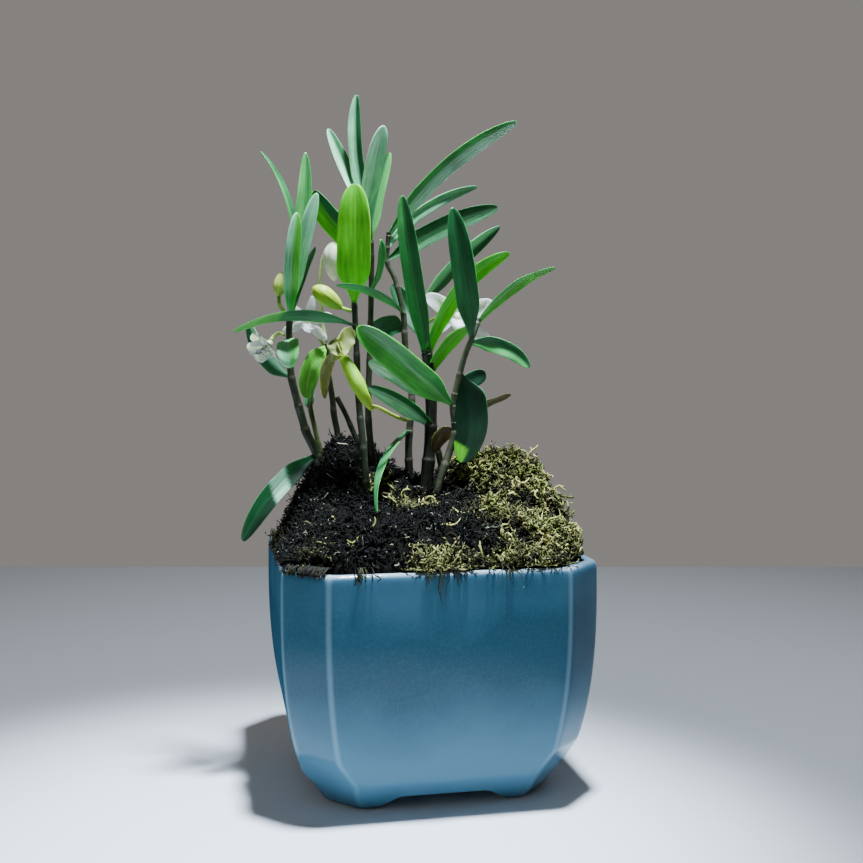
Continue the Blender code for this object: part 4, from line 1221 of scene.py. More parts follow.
@dataclass(frozen=True)
class MossMound:
    """The mound of peat and moss: a lumpy cushion and the tangle of moss and roots on it."""

    half_width: float = 41.3
    corner_share: float = 0.26
    edge_height: float = 68.4
    base_rise: float = 13.0
    plug_floor: float = 61.3
    steepness: float = 8.0
    peaks: tuple[tuple[float, float, float, float], ...] = (
        (-24, 3, 20, 12.5), (16.5, 3, 13, 10.5), (37, -2, 13.5, 9),
    )
    sides: int = 144
    rings: int = 44
    relief: float = 1.6  # of the small lumps that the CAD model's clumps don't have
    # x, y, z on plant axes and radius of the places where living moss shows and is painted lighter as painted
    # light, and how light it is
    patches: tuple[tuple[float, float, float, float, float], ...] = (
        (31, 0, 88, 20, 1), (40, -20, 76, 15, 1), (20, 25, 82, 22, 0.8),
        (28, -22, 82, 14, 0.75), (32, -35, 73, 12, 0.7), (20, -8, 92, 9, 0.6),
        (-3, -20, 86, 7.5, 0.6), (-11, -15, 90, 6, 0.6), (5.5, -43, 69, 8, 1),
        (24, -41, 69, 10, 0.65), (-20, 30, 78, 14, 0.6), (-27, -40, 70, 4, 0.6),
        (-42, -8, 74, 8, 0.35), (-45, -24, 70, 6, 0.5),
    )
    spread: float = 0.99  # share of the mound's reach that strands start on
    clear_from: Span = (16, 8)  # x where the rim starts to get clear of moss, and over how far
    overhang: Span = (0.6, 3.2)  # how far strands may hang past the mound's edge
    part_edges: Span = (-16, 14)  # y where the front part ends and the back one begins
    # branches of feathery moss: tries, of which the clumps keep most, then sizes of each
    branch_count: int = 8400
    branch_step: Span = (0.4, 0.75)
    branch_curl: Span = (0.3, 0.9)  # radians a step
    branch_radius: Span = (0.16, 0.26)
    leaflet_length: Span = (0.7, 1.5)
    leaflet_radius: Span = (0.15, 0.28)
    # thick curls: tries, of which the living places keep most, then sizes of each and of its twigs
    curl_count: int = 6500
    curl_step: Span = (0.75, 1.25)
    curl_curl: Span = (0.5, 1.2)
    curl_lift: Span = (1, 2.8)
    curl_radius: Span = (0.3, 0.56)
    twig_length: Span = (1, 2.6)
    twig_radius: Span = (0.2, 0.38)
    # dark fibres and pale roots, first the number of tries of each
    fibre_count: int = 1500
    root_count: int = 230
    fibre_step: Span = (0.4, 0.95)
    root_step: Span = (0.3, 0.7)
    fibre_curl: Span = (0.2, 0.8)
    fibre_lift: Span = (0.5, 1.6)
    fibre_radius: Span = (0.1, 0.2)
    root_radius: Span = (0.12, 0.26)
    # what they are coloured in
    straw: str = "c8c077"
    green: str = "7f9140"
    # near-black of dead moss, and of painted shade deep in the tangle
    old: str = "0c0c08"
    ash: str = "8f9180"  # of the few dead leaflets
    fibre_tints: tuple[str, ...] = ("14120e", "1f1911", "251e13", "0e0f0c")
    root_tints: tuple[str, ...] = ("b5b08c", "8f9078", "6f725c")
    hanging_tints: tuple[str, ...] = ("14120e", "2a2515", "55552c")
    # x on plant axes, how many and how far down: roots that hang over the front rim
    hanging: tuple[tuple[float, int, float], ...] = (
        (2, 6, 5), (6.5, 7, 9.5), (10, 4, 4), (-17, 12, 3.4), (22, 4, 4.5),
    )
    # the same over the front left corner, from the middle of its cut side
    corner_hanging: tuple[tuple[float, int, float], ...] = (
        (-4.5, 22, 1.3), (-1.5, 26, 1.7), (2, 22, 1.2), (4.8, 18, 1.5),
    )
    # a hanging root's points: height, share of its drop below that, and depth past the mound's edge
    hanging_path: tuple[Triple, ...] = (
        (69.4, 0, 1), (69.6, 0, -1.5), (69, 0, -3.4), (68.2, 0, -4.1),
        (68.2, 0.2, -4.3), (68.2, 0.45, -4.3), (68.2, 0.75, -4.2), (68.2, 1, -4.2),
    )
    # how far from the side's middle they may be, and how light they are, in front and at the corner
    hanging_front: Span = (28, 1)
    hanging_corner: Span = (7, 0.45)
    # start and direction on plant axes, length and radius of the pale strands in the dark part
    strands: tuple[tuple[Triple, Triple, float, float], ...] = (
        ((-17.3, -37.5, 80), (0.1, -0.3, -1), 9, 0.42),
        ((-16, -38.5, 76), (-0.5, -0.2, -0.8), 6, 0.3),
        ((-18, -39.5, 73.5), (0.7, -0.3, -0.5), 5, 0.3),
        ((-0.3, -39, 73), (-0.4, -0.3, 0.9), 5.5, 0.26),
        ((4.2, -39, 73), (-0.4, -0.3, 1), 6, 0.3),
        ((3.8, -36, 82), (1, -0.2, 0.3), 7, 0.32),
        ((-11, -17, 93), (0.6, -0.4, 0.8), 7, 0.3),
        ((-12.5, -18, 92), (0.2, -0.4, 0.9), 6, 0.26),
        ((-26, -33, 82), (0.8, -0.3, 0.2), 5, 0.2),
        ((-33, -28, 80), (-0.3, -0.3, 0.8), 5, 0.2),
        ((-22, -38, 73), (-0.9, -0.2, 0.1), 6, 0.2),
        ((8, -33, 84), (0.3, -0.5, -0.8), 5, 0.24),
    )
    sink: float = 1.1  # how far the cushion lies below the moss that stands on it
    # tufts at the rim: x, y on plant axes, how many branches, and how far they stray in x and in y
    tufts: tuple[tuple[float, float, int, float, float], ...] = (
        (5.5, -42, 140, 4.6, 1.8), (-43, -24, 420, 2.5, 6), (-44, -8, 420, 2, 8),
        (31, -36, 110, 6, 2.5), (-30, -38, 160, 6, 2),
    )
    tuft_height: float = 69.5
    tuft_overhang: Span = (0.6, 4.9)
    tuft_stretch: float = 1.7  # how much longer than common its branches are, and how much lighter as painted light

    def reach_to_outline(self, direction: float) -> float:
        """Distance from the axis to a square of half width one with cut corners."""
        across, along = abs(math.cos(direction)), abs(math.sin(direction))
        return 1 / max(across, along, (across + along) / (2 - self.corner_share))

    def lumps(self, x: float, y: float, fine: float) -> float:
        """Height of the clumps at a place on plant axes.

        Args:
            x: to the right.
            y: away.
            fine: how much small relief is added to the CAD model's clumps.

        Returns:
            The height, some millimetres either way.
        """
        plain = (1.1 * math.sin(0.50 * x + 1.3) * math.cos(0.44 * y - 0.4)
                 + 0.6 * math.sin(0.31 * x - 0.63 * y) + 0.4 * math.cos(0.77 * x + 0.36 * y))
        return plain + fine * noise.fractal(Vector((x, y, 3.0)) * 0.21, 0.7, 2.0, 4)

    def point(self, direction: float, reach: float, fine: float = 0.0) -> Vector:
        """Finds a point on the mound.

        Args:
            direction: an angle about the pot's axis.
            reach: from 0 on the axis to 1 at the mound's edge.
            fine: how much small relief is added to the CAD model's clumps.

        Returns:
            The point.
        """
        distance = reach * self.half_width * self.reach_to_outline(direction)
        spot = Vector((distance * math.cos(direction), distance * math.sin(direction), 0)) + POT_AXIS
        place = plant_axes(spot)
        rise = self.base_rise
        for peak_x, peak_y, peak_rise, spread in self.peaks:
            away = (place.x - peak_x) ** 2 + (place.y - peak_y) ** 2
            rise += peak_rise * math.exp(-away / (2 * spread * spread))
        fade = 1 - reach ** self.steepness
        spot.z = self.edge_height + fade * (rise + self.lumps(place.x, place.y, fine) - self.sink)
        return spot

    def cushion(self) -> bmesh.types.BMesh:
        """Makes the lumpy dome on a straight plug in the pot.

        Returns:
            The shape, still in millimetres.
        """
        bm = bmesh.new()
        total = self.rings + 3
        bmesh.ops.create_uvsphere(bm, u_segments=self.sides, v_segments=total, radius=1)
        for vert in bm.verts:
            ring = round(math.acos(max(-1, min(1, vert.co.z))) / math.pi * total)
            column = round(math.atan2(vert.co.y, vert.co.x) / math.tau * self.sides) % self.sides
            vert.co = self.point(column * math.tau / self.sides, min(1.0, ring / self.rings), self.relief)
            if ring > self.rings:
                vert.co = vert.co.lerp(POT_AXIS, (ring - self.rings - 1) / 2)
                vert.co.z = self.plug_floor
            vert.index = ring * self.sides + (column if 0 < ring < total else 0)
        bm.verts.sort()
        bm.verts.index_update()
        bm.faces.sort(key=self.rank)
        for face in bm.faces:
            face.smooth = True
        bm.normal_update()
        return bm

    @staticmethod
    def rank(face: bmesh.types.BMFace) -> float:
        """A number of its own for each face, so that they come in the same order each run."""
        corners = [vert.index for vert in face.verts]
        return (min(corners) * 1e5 + max(corners)) * 1e5 + sum(corners)

    def life_and_light(self, place: Vector) -> float:
        """Finds how much living moss there is at a place, which also paints the moss lighter as painted light
        where light falls on it.

        Args:
            place: on plant axes.

        Returns:
            Its share, from 0 to 1.
        """
        best = 0.0
        for x, y, z, radius, light in self.patches:
            away = (place - Vector((x, y, z))).length / radius
            best = max(best, light * ease(1.45 - away))
        return best

    def keep_in(self, spot: Vector, over: float) -> None:
        """Keeps a fibre's point above the rim and no further out than the rim's edge.

        Args:
            spot: the point, which is moved.
            over: how far past the mound's edge it may hang.
        """
        aside = spot - POT_AXIS
        distance = math.hypot(aside.x, aside.y)
        outline = self.reach_to_outline(math.atan2(aside.y, aside.x))
        if distance > (self.half_width - 0.6) * outline:
            spot.z = max(spot.z, self.edge_height + 0.35)
            limit = (self.half_width + over) * outline
            if distance > limit:
                spot.x = POT_AXIS.x + aside.x * limit / distance
                spot.y = POT_AXIS.y + aside.y * limit / distance

    def walk(self, dome: BVHTree, start: Vector, heading: Vector, steps: int, step: float,
             curl: float, lift: float, draw: Draw, over: float = 2.6) -> list[Vector]:
        """A curling path that starts in the cushion and stays outside it.

        Args:
            dome: the cushion's surface.
            start: a point on it.
            heading: its first direction.
            steps: how many steps it takes.
            step: length of a step.
            curl: angle in radians that its direction turns by at each step.
            lift: least height above the surface at its end.
            draw: seeded numbers.
            over: how far past the mound's edge it may hang.

        Returns:
            Its points, one more than its steps.
        """
        path = [start - heading * step * 0.7]
        spot = start.copy()
        axis = self.any_way(draw)
        for index in range(steps):
            axis = (axis + self.any_way(draw) * 0.6).normalized()
            heading = Matrix.Rotation(curl, 3, axis) @ heading
            spot = spot + heading * step
            near, normal = dome.find_nearest(spot)[:2]
            height = (spot - near).dot(normal)
            wanted = lift * (index + 1) / steps
            if height < wanted:
                spot += normal * (wanted - height)
            self.keep_in(spot, over)
            path.append(spot.copy())
        return path

    @staticmethod
    def any_way(draw: Draw) -> Vector:
        """A direction drawn at random."""
        return Vector((draw.gauss(0, 1), draw.gauss(0, 1), draw.gauss(0, 1))).normalized()

    def moss_tint(self, light: float, draw: Draw) -> np.ndarray:
        """Draws the colour of a strand of moss.

        Args:
            light: from 0 for black-brown in the depth to 1 for straw and green on top, partly dead against
                living moss and partly painted shade against painted light.
            draw: seeded numbers.

        Returns:
            The linear colour.
        """
        straw, green = np.array(rgba(self.straw)), np.array(rgba(self.green))
        fresh = straw + (green - straw) * draw.random() ** 1.5
        old = np.array(rgba(self.old))
        if draw.random() < 0.025:
            return np.array(rgba(self.ash)) * draw.uniform(0.3, 0.8)
        return old + (fresh - old) * min(1.0, light * draw.uniform(0.3, 1.25)) ** 1.5

    @staticmethod
    def clump(place: Vector) -> float:
        """How strongly moss stands up at a place, from 0 in the gaps to 1 on the clumps, which also darkens
        the gaps as painted shade.
        """
        return ease(0.5 + 1.3 * noise.noise(place * 0.16) + 0.5 * noise.noise(place * 0.45))

    def freedom(self, place: Vector) -> float:
        """How freely moss hangs over the rim at a place, which is little at the right."""
        start, length = self.clear_from
        return 1.0 - 0.8 * ease((plant_axes(place).x - start) / length)

    def moss(self, dome: BVHTree, look: Look) -> None:
        """Makes the feathery moss: curled branches with small leaflets all around them.

        Args:
            dome: the cushion's surface.
            look: their finish.
        """
        draw = random.Random(11)
        golden = math.pi * (3 - math.sqrt(5))
        shape = (0.0, 0.9, 0.75, 1.0, 0.7, 0.0)
        branches = {part: Fibres("moss_branches_" + part.value, shape) for part in Part}
        leaflets = {part: Fibres("moss_leaflets_" + part.value, (0.0, 1.0, 0.0)) for part in Part}
        for index in range(self.branch_count):
            reach = math.sqrt((index + 0.5) / self.branch_count) * self.spread
            near, normal = dome.find_nearest(self.point(index * golden, reach))[:2]
            heading = (normal * 0.5 + self.any_way(draw)).normalized()
            if heading.dot(normal) < 0.2:
                heading = (heading + normal * 0.5).normalized()
            if draw.random() < 0.45 + 0.55 * self.clump(near):
                over = draw.uniform(*self.overhang) * self.freedom(near)
                self.branch(dome, near, heading, over, branches, leaflets, draw)
        for x, y, count, along, across in self.tufts:
            for _ in range(count):
                place = (x + draw.gauss(0, along), y + draw.gauss(0, across), self.tuft_height)
                near = dome.find_nearest(at(place))[0]
                outward = near - POT_AXIS
                outward.z = 0
                outward = outward.normalized() + self.any_way(draw) * 0.7 + Vector((0, 0, 0.35))
                over = draw.uniform(*self.tuft_overhang)
                self.branch(dome, near, outward.normalized(), over, branches, leaflets, draw,
                            self.tuft_stretch)
        for tangle in (*branches.values(), *leaflets.values()):
            tangle.finish(look, "moss")
        self.curls(dome, look)

    def branch(self, dome: BVHTree, start: Vector, heading: Vector, over: float,
               branches: dict[Part, Fibres], leaflets: dict[Part, Fibres], draw: Draw,
               stretch: float = 1.0) -> None:
        """Makes one branch of moss with its leaflets.

        Args:
            dome: the cushion's surface.
            start: the point that it grows from.
            heading: its first direction.
            over: how far past the mound's edge it may hang.
            branches: where the branch goes, by part of the mound.
            leaflets: where its leaflets go.
            draw: seeded numbers.
            stretch: how much longer than common it is, and how much lighter as painted light.
        """
        where = plant_axes(start)
        life_and_light, tall = self.life_and_light(where), self.clump(start)
        step = (draw.uniform(*self.branch_step) + 0.4 * tall * life_and_light) * stretch
        curl = draw.uniform(*self.branch_curl) / stretch
        path = self.walk(dome, start, heading, 5, step, curl, 0.3 + 1.3 * tall, draw, over)
        front_end, back_start = self.part_edges
        part = Part.FRONT if where.y < front_end else Part.BACK if where.y > back_start else Part.MIDDLE
        # darker in the gaps between clumps as painted shade, and lighter on the longer tufts as painted light
        life_and_light = min(1.0, life_and_light * (0.15 + 0.5 * tall) * stretch)
        radius = draw.uniform(*self.branch_radius) + 0.08 * life_and_light
        branches[part].add(path, radius, self.moss_tint(0.8 * life_and_light, draw))
        for index, (root, end) in enumerate(zip(path[1:], path[2:])):
            for _ in range(2 if life_and_light > 0.1 else 1):
                way = ((end - root).normalized() * 0.9 + self.any_way(draw)).normalized()
                length = draw.uniform(*self.leaflet_length) + 0.5 * life_and_light
                base = root.lerp(end, draw.random())
                tip = base + way * length + self.any_way(draw) * 0.25
                self.keep_in(tip, over)
                middle = base.lerp(tip, 0.5) + self.any_way(draw) * 0.15
                radius = draw.uniform(*self.leaflet_radius)
                # leaflets lighter toward the branch's end: painted light on the top of the tangle and painted
                # shade below
                leaflets[part].add((base, middle, tip), radius,
                                   self.moss_tint(life_and_light * (0.5 + 0.2 * index), draw))

    def curls(self, dome: BVHTree, look: Look) -> None:
        """Makes the thick curled strands that lie on top where the moss is alive.

        Args:
            dome: the cushion's surface.
            look: their finish.
        """
        draw = random.Random(13)
        curls = Fibres("moss_curls", (0.0, 0.9, 1.0, 0.85, 1.0, 0.8, 0.85, 0.55, 0.0))
        twigs = Fibres("moss_twigs", (0.0, 1.0, 0.8, 0.0))
        for _ in range(self.curl_count):
            spot = self.point(draw.uniform(0, math.tau), math.sqrt(draw.random()) * self.spread)
            near, normal = dome.find_nearest(spot)[:2]
            tall = self.clump(near)
            life_and_light = self.life_and_light(plant_axes(near)) * (0.35 + 0.65 * tall)
            if life_and_light < draw.uniform(0.2, 1.1):
                continue
            heading = (normal * 0.4 + self.any_way(draw)).normalized()
            step = draw.uniform(*self.curl_step)
            over = draw.uniform(*self.overhang) * self.freedom(near)
            curl, lift = draw.uniform(*self.curl_curl), draw.uniform(*self.curl_lift)
            path = self.walk(dome, near, heading, 8, step, curl, lift, draw, over)
            # darker in the gaps between clumps: painted shade
            tint = self.moss_tint(draw.uniform(0.6, 1.45) * (0.62 + 0.38 * tall), draw)
            curls.add(path, draw.uniform(*self.curl_radius), tint)
            for root, end in zip(path[2:8:2], path[3:9:2]):
                twig = self.twig(root, end, draw)
                for part in twig:
                    self.keep_in(part, over)
                twigs.add(twig, draw.uniform(*self.twig_radius), tint * draw.uniform(0.8, 1.3))
        for place, way, length, radius in self.strands:
            near = dome.find_nearest(at(place))[0]
            path = self.walk(dome, near, turned(way).normalized(), 8, length / 8, 0.45, 0.9, draw)
            curls.add(path, radius, self.moss_tint(1.3, draw) * draw.uniform(0.8, 1.2))
        curls.finish(look, "moss")
        twigs.finish(look, "moss")

    def twig(self, root: Vector, end: Vector, draw: Draw) -> list[Vector]:
        """Draws a side twig of a curl.

        Args:
            root: where it leaves the curl.
            end: the curl's next point, which it leans toward.
            draw: seeded numbers.

        Returns:
            Its points.
        """
        way = ((end - root).normalized() * 0.6 + self.any_way(draw)).normalized()
        length = draw.uniform(*self.twig_length)
        return [root, root + way * length * 0.4, root + (way + self.any_way(draw) * 0.4) * length * 0.75,
                root + (way + self.any_way(draw) * 0.6) * length]

    def fibres(self, dome: BVHTree, bark: Look) -> None:
        """Makes the dark root and coir fibres and the few pale roots.

        Args:
            dome: the cushion's surface.
            bark: their finish.
        """
        draw = random.Random(12)
        shape = (0.0, 0.9, 1.0, 0.9, 0.95, 0.8, 0.6, 0.0)
        dark, roots = Fibres("peat_fibres", shape), Fibres("pale_roots", shape)
        for index in range(self.fibre_count + self.root_count):
            pale = index >= self.fibre_count
            spot = self.point(draw.uniform(0, math.tau), math.sqrt(draw.random()) * 0.98)
            near, normal = dome.find_nearest(spot)[:2]
            if draw.random() < 0.8 * self.life_and_light(plant_axes(near)):
                continue
            aside = self.any_way(draw)
            aside = (aside - normal * aside.dot(normal)).normalized()
            heading = (aside + normal * 0.3).normalized()
            step = draw.uniform(*(self.root_step if pale else self.fibre_step))
            curl, lift = draw.uniform(*self.fibre_curl), draw.uniform(*self.fibre_lift)
            path = self.walk(dome, near, heading, 7, step, curl, lift, draw)
            tint = np.array(rgba(draw.choice(self.root_tints if pale else self.fibre_tints)))
            if pale:
                tint = tint * draw.uniform(0.4, 0.9)
                roots.add(path, draw.uniform(*self.root_radius), tint)
            else:
                tint = tint * draw.uniform(0.5, 1.2)
                dark.add(path, draw.uniform(*self.fibre_radius), tint)
        self.hang(dark, draw)
        dark.finish(bark, "moss")
        roots.finish(bark, "moss")

    def hang(self, dark: Fibres, draw: Draw) -> None:
        """Hangs roots over the front rim and the front left corner.

        Args:
            dark: the tangle that they go into.
            draw: seeded numbers.
        """
        corner_reach = self.half_width * (2 - self.corner_share) / 2 ** 0.5
        rows = [(at((middle, -40.0, 0)).x - POT_AXIS.x, count, drop, 0.0, self.half_width,
                 *self.hanging_front) for middle, count, drop in self.hanging]
        rows += [(*row, -math.pi / 4, corner_reach, *self.hanging_corner) for row in self.corner_hanging]
        for middle, count, drop, side, reach, limit, light in rows:
            for _ in range(count):
                across = middle + draw.gauss(0, 1.6)
                out = draw.uniform(0.15, 0.8)
                down = drop * draw.uniform(0.25, 1.0)
                path = []
                for height, share, depth in self.hanging_path:
                    across = max(-limit, min(limit, across + draw.gauss(0, 0.4)))
                    place = Vector((across, depth - out - reach, height - share * down))
                    path.append(Matrix.Rotation(side, 3, "Z") @ place + POT_AXIS)
                tint = np.array(rgba(draw.choice(self.hanging_tints))) * draw.uniform(0.6, 1.2)
                dark.add(path, draw.uniform(*self.root_radius), tint * light)

    def build(self, peat: Look, moss: Look, bark: Look) -> None:
        """Makes the mound.

        Args:
            peat: the cushion's finish.
            moss: the sprigs' finish.
            bark: the finish of fibres and roots.
        """
        cushion = self.cushion()
        dome = BVHTree.FromBMesh(cushion)
        write_piece("moss_cushion", cushion, [peat], "moss", "moss_mound")
        self.moss(dome, moss)
        self.fibres(dome, bark)


SHARE, FIRST, SECOND, MIXED = 0, 6, 7, 2  # inputs and output of a Mix node for colours


def plug(node: bpy.types.Node, sockets: dict | list) -> None:
    """Fills or links a node's inputs.

    Args:
        node: the node.
        sockets: what goes in by name or index, or as a list from the first input on: a value, a
            node, or a node and its output. A MapRange takes its value, what counts as low and
            high, and what those two turn into.
    """
    for key, value in enumerate(sockets) if isinstance(sockets, list) else sockets.items():
        if isinstance(value, bpy.types.Node):
            value = (value, 0)
        if isinstance(value, tuple) and isinstance(value[0], bpy.types.Node):
            node.id_data.links.new(value[0].outputs[value[1]], node.inputs[key])
        else:
            node.inputs[key].default_value = value


def add_node(tree: bpy.types.NodeTree, kind: str, sockets: dict | list | None = None,
             **settings: object) -> bpy.types.Node:
    """Adds a shader node, sets its properties and fills or links its inputs.

    Args:
        tree: the node tree.
        kind: the node's type without ShaderNode.
        sockets: as plug takes them.
        settings: the node's own properties.

    Returns:
        The node.
    """
    made = tree.nodes.new("ShaderNode" + kind)
    for name, value in settings.items():
        setattr(made, name, value)
    plug(made, sockets or [])
    return made


def per_mm(size: float) -> float:
    """The scale of a pattern on Object coordinates whose parts are so many millimetres across."""
    return 1 / (size * MM)


@dataclass(frozen=True)
class Finish:
    """What every finish has: its name, its gloss and how far light goes into it."""

    name: str
    roughness: float = 0.5
    ior: float = 1.45
    gloss: float = 0.5  # specular level; 0.5 is the full gloss of its IOR
    scatter: float = 0.0
    scatter_mm: float = 1.0
    scatter_colour: Triple = (1.0, 1.0, 1.0)

    def start(self) -> tuple[Look, bpy.types.Node, Callable]:
        """Starts a material.

        Returns:
            The material, its shader, and add_node for its tree.
        """
        made = bpy.data.materials.new(self.name)
        made.use_nodes = True
        shader = made.node_tree.nodes["Principled BSDF"]
        plug(shader, {"Roughness": self.roughness, "IOR": self.ior, "Specular IOR Level": self.gloss,
                      "Subsurface Weight": self.scatter, "Subsurface Scale": self.scatter_mm * MM,
                      "Subsurface Radius": self.scatter_colour})
        return made, shader, partial(add_node, made.node_tree)


@dataclass(frozen=True)
class WaxyLeaf(Finish):
    """Living leaf, a waxy skin over green tissue.

    To the eye it has a soft sheen, fine streaks along it, a paler midrib and edge that are partly
    painted highlight, and it glows a little where light comes through.
    """

    patch_mm: float = 9.0  # size of its lighter and darker patches
    streaks: Triple = (5.0, 0.10, 0.0)  # streaks across half its width and per millimetre
    vein_and_highlight_gain: Triple = (2.3, 1.5, 2.2)  # how much paler midrib and edge are, partly painted highlight
    roughness_span: Span = (-0.08, 0.12)  # from its patches

    def build(self) -> Look:
        """Makes the material.

        Returns:
            The material, tinted by each leaf's own green.
        """
        made, shader, add = self.start()
        strip = add("Attribute", attribute_name="strip")
        tint = add("Attribute", attribute_name="tint")
        parts = add("SeparateXYZ", [(strip, "Vector")])
        stretched = add("VectorMath", [(strip, "Vector"), self.streaks], operation="MULTIPLY")
        streaks = add("TexNoise", {"Vector": stretched, "Scale": 1.0, "Detail": 4.0})
        where = add("TexCoord")
        patches = add("TexNoise", {"Vector": (where, "Object"), "Scale": per_mm(self.patch_mm),
                                   "Detail": 3.0})
        both = add("Math", [(streaks, 0), (patches, 0)], operation="ADD")
        light = add("MapRange", [both, 0.72, 1.28, 0.62, 1.45])
        shaded = add("VectorMath", {0: (tint, "Color"), "Scale": light}, operation="SCALE")
        edge = add("Math", [(parts, "X")], operation="ABSOLUTE")
        # paler midrib and edge, partly the leaf's own and partly painted highlight
        rib = add("MapRange", [edge, 0.02, 0.10, 0.55, 0.0])
        margin = add("MapRange", [edge, 0.9, 0.98, 0.0, 0.45])
        lines = add("Math", [rib, margin], operation="MAXIMUM")
        pale = add("VectorMath", [(tint, "Color"), self.vein_and_highlight_gain], operation="MULTIPLY")
        lined = add("Mix", {SHARE: lines, FIRST: shaded, SECOND: pale}, data_type="RGBA")
        smoother, rougher = self.roughness_span
        gloss = add("MapRange", [patches, 0.3, 0.7, self.roughness + smoother, self.roughness + rougher])
        plug(shader, {"Base Color": (lined, MIXED), "Roughness": gloss})
        return made


@dataclass(frozen=True)
class CaneSkin(Finish):
    """Old orchid cane, a grooved skin in the dry remains of its leaf sheaths.

    To the eye it is dark and matt, with torn pale shreds on its lower part, green toward its top
    and a dark line at each node.
    """

    fibre_mm: float = 0.45
    tear_mm: float = 2.4
    groove_mm: float = 0.12  # depth of its relief
    paper: str = "9a9c7c"
    green: str = "4f7a3a"
    line: str = "1b1a10"  # at each node

    def build(self) -> Look:
        """Makes the material.

        Returns:
            The material, greener toward its top.
        """
        made, shader, add = self.start()
        strip = add("Attribute", attribute_name="strip")
        tint = add("Attribute", attribute_name="tint")
        parts = add("SeparateXYZ", [(strip, "Vector")])
        where = add("TexCoord")
        stretched = add("Mapping", {"Vector": (where, "Object"), "Scale": (1.0, 1.0, 0.07)})
        fibres = add("TexNoise", {"Vector": stretched, "Scale": per_mm(self.fibre_mm), "Detail": 3.0})
        torn = add("Mapping", {"Vector": (where, "Object"), "Scale": (1.0, 1.0, 0.3)})
        tears = add("TexNoise", {"Vector": torn, "Scale": per_mm(self.tear_mm), "Detail": 5.0})
        old = add("MapRange", [(parts, "Z"), 0.45, 0.95, 0.0, 0.75])
        young = add("Mix", {SHARE: old, FIRST: (tint, "Color"), SECOND: rgba(self.green)}, data_type="RGBA")
        light = add("MapRange", [(fibres, 0), 0.3, 0.7, 0.55, 1.5])
        skin = add("VectorMath", {0: (young, MIXED), "Scale": light}, operation="SCALE")
        low = add("MapRange", [(parts, "Z"), 0.15, 0.45, 0.09, -0.02])
        both = add("Math", [tears, fibres], operation="ADD")
        shreds = add("Math", [both, low], operation="ADD")
        share = add("MapRange", [shreds, 1.0, 1.1, 0.0, 0.8])
        papery = add("Mix", {SHARE: share, FIRST: skin, SECOND: rgba(self.paper)}, data_type="RGBA")
        node = add("MapRange", [(parts, "X"), 0.0, 0.09, 0.75, 0.0])
        ringed = add("Mix", {SHARE: node, FIRST: (papery, MIXED), SECOND: rgba(self.line)}, data_type="RGBA")
        bump = add("Bump", {"Height": (fibres, 0), "Strength": 0.6, "Distance": self.groove_mm * MM})
        plug(shader, {"Base Color": (ringed, MIXED), "Normal": bump})
        return made


@dataclass(frozen=True)
class PetalTissue(Finish):
    """Petal, bud or stalk, thin moist tissue.

    To the eye it is soft, with fine veins, greener toward its root, and it glows where light comes
    through.
    """

    patch_mm: float = 2.2
    vein_mm: float = 0.06  # height of its veins
    throat: str = "b9cf6a"
    throat_end: float = 0.35
    vein_count: float = 7.0
    vein_share: float = 0.18

    def build(self) -> Look:
        """Makes the material.

        Returns:
            The material, tinted by each piece's own colour.
        """
        made, shader, add = self.start()
        strip = add("Attribute", attribute_name="strip")
        tint = add("Attribute", attribute_name="tint")
        parts = add("SeparateXYZ", [(strip, "Vector")])
        where = add("TexCoord")
        patches = add("TexNoise", {"Vector": (where, "Object"), "Scale": per_mm(self.patch_mm),
                                   "Detail": 3.0})
        light = add("MapRange", [(patches, 0), 0.3, 0.7, 0.86, 1.1])
        shaded = add("VectorMath", {0: (tint, "Color"), "Scale": light}, operation="SCALE")
        root = add("MapRange", [(parts, "Z"), 0.0, self.throat_end, 0.75, 0.0])
        waves = add("Math", [(parts, "X"), self.vein_count * math.pi], operation="MULTIPLY")
        veins = add("Math", [waves], operation="COSINE")
        line = add("MapRange", [veins, 0.6, 1.0, 0.0, self.vein_share])
        green = add("Math", [root, line], operation="MAXIMUM")
        flushed = add("Mix", {SHARE: green, FIRST: shaded, SECOND: rgba(self.throat)}, data_type="RGBA")
        bump = add("Bump", {"Height": veins, "Strength": 0.3, "Distance": self.vein_mm * MM})
        plug(shader, {"Base Color": (flushed, MIXED), "Normal": bump})
        return made


@dataclass(frozen=True)
class MossFibre(Finish):
    """Moss and root fibres, matt and dry.

    To the eye each has its own tint, mottled along its length. The grain is coarser than a real
    leaf of moss, which is too fine to show.
    """

    grain_mm: float = 1.2
    grain_height: float = 0.1  # millimetres

    def build(self) -> Look:
        """Makes the material.

        Returns:
            The material, tinted by each fibre's own colour.
        """
        made, shader, add = self.start()
        tint = add("Attribute", attribute_name="tint")
        where = add("TexCoord")
        grain = add("TexNoise", {"Vector": (where, "Object"), "Scale": per_mm(self.grain_mm), "Detail": 3.0})
        light = add("MapRange", [(grain, 0), 0.3, 0.7, 0.55, 1.4])
        shaded = add("VectorMath", {0: (tint, "Color"), "Scale": light}, operation="SCALE")
        bump = add("Bump", {"Height": (grain, 0), "Strength": 0.5, "Distance": self.grain_height * MM})
        plug(shader, {"Base Color": shaded, "Normal": bump})
        return made


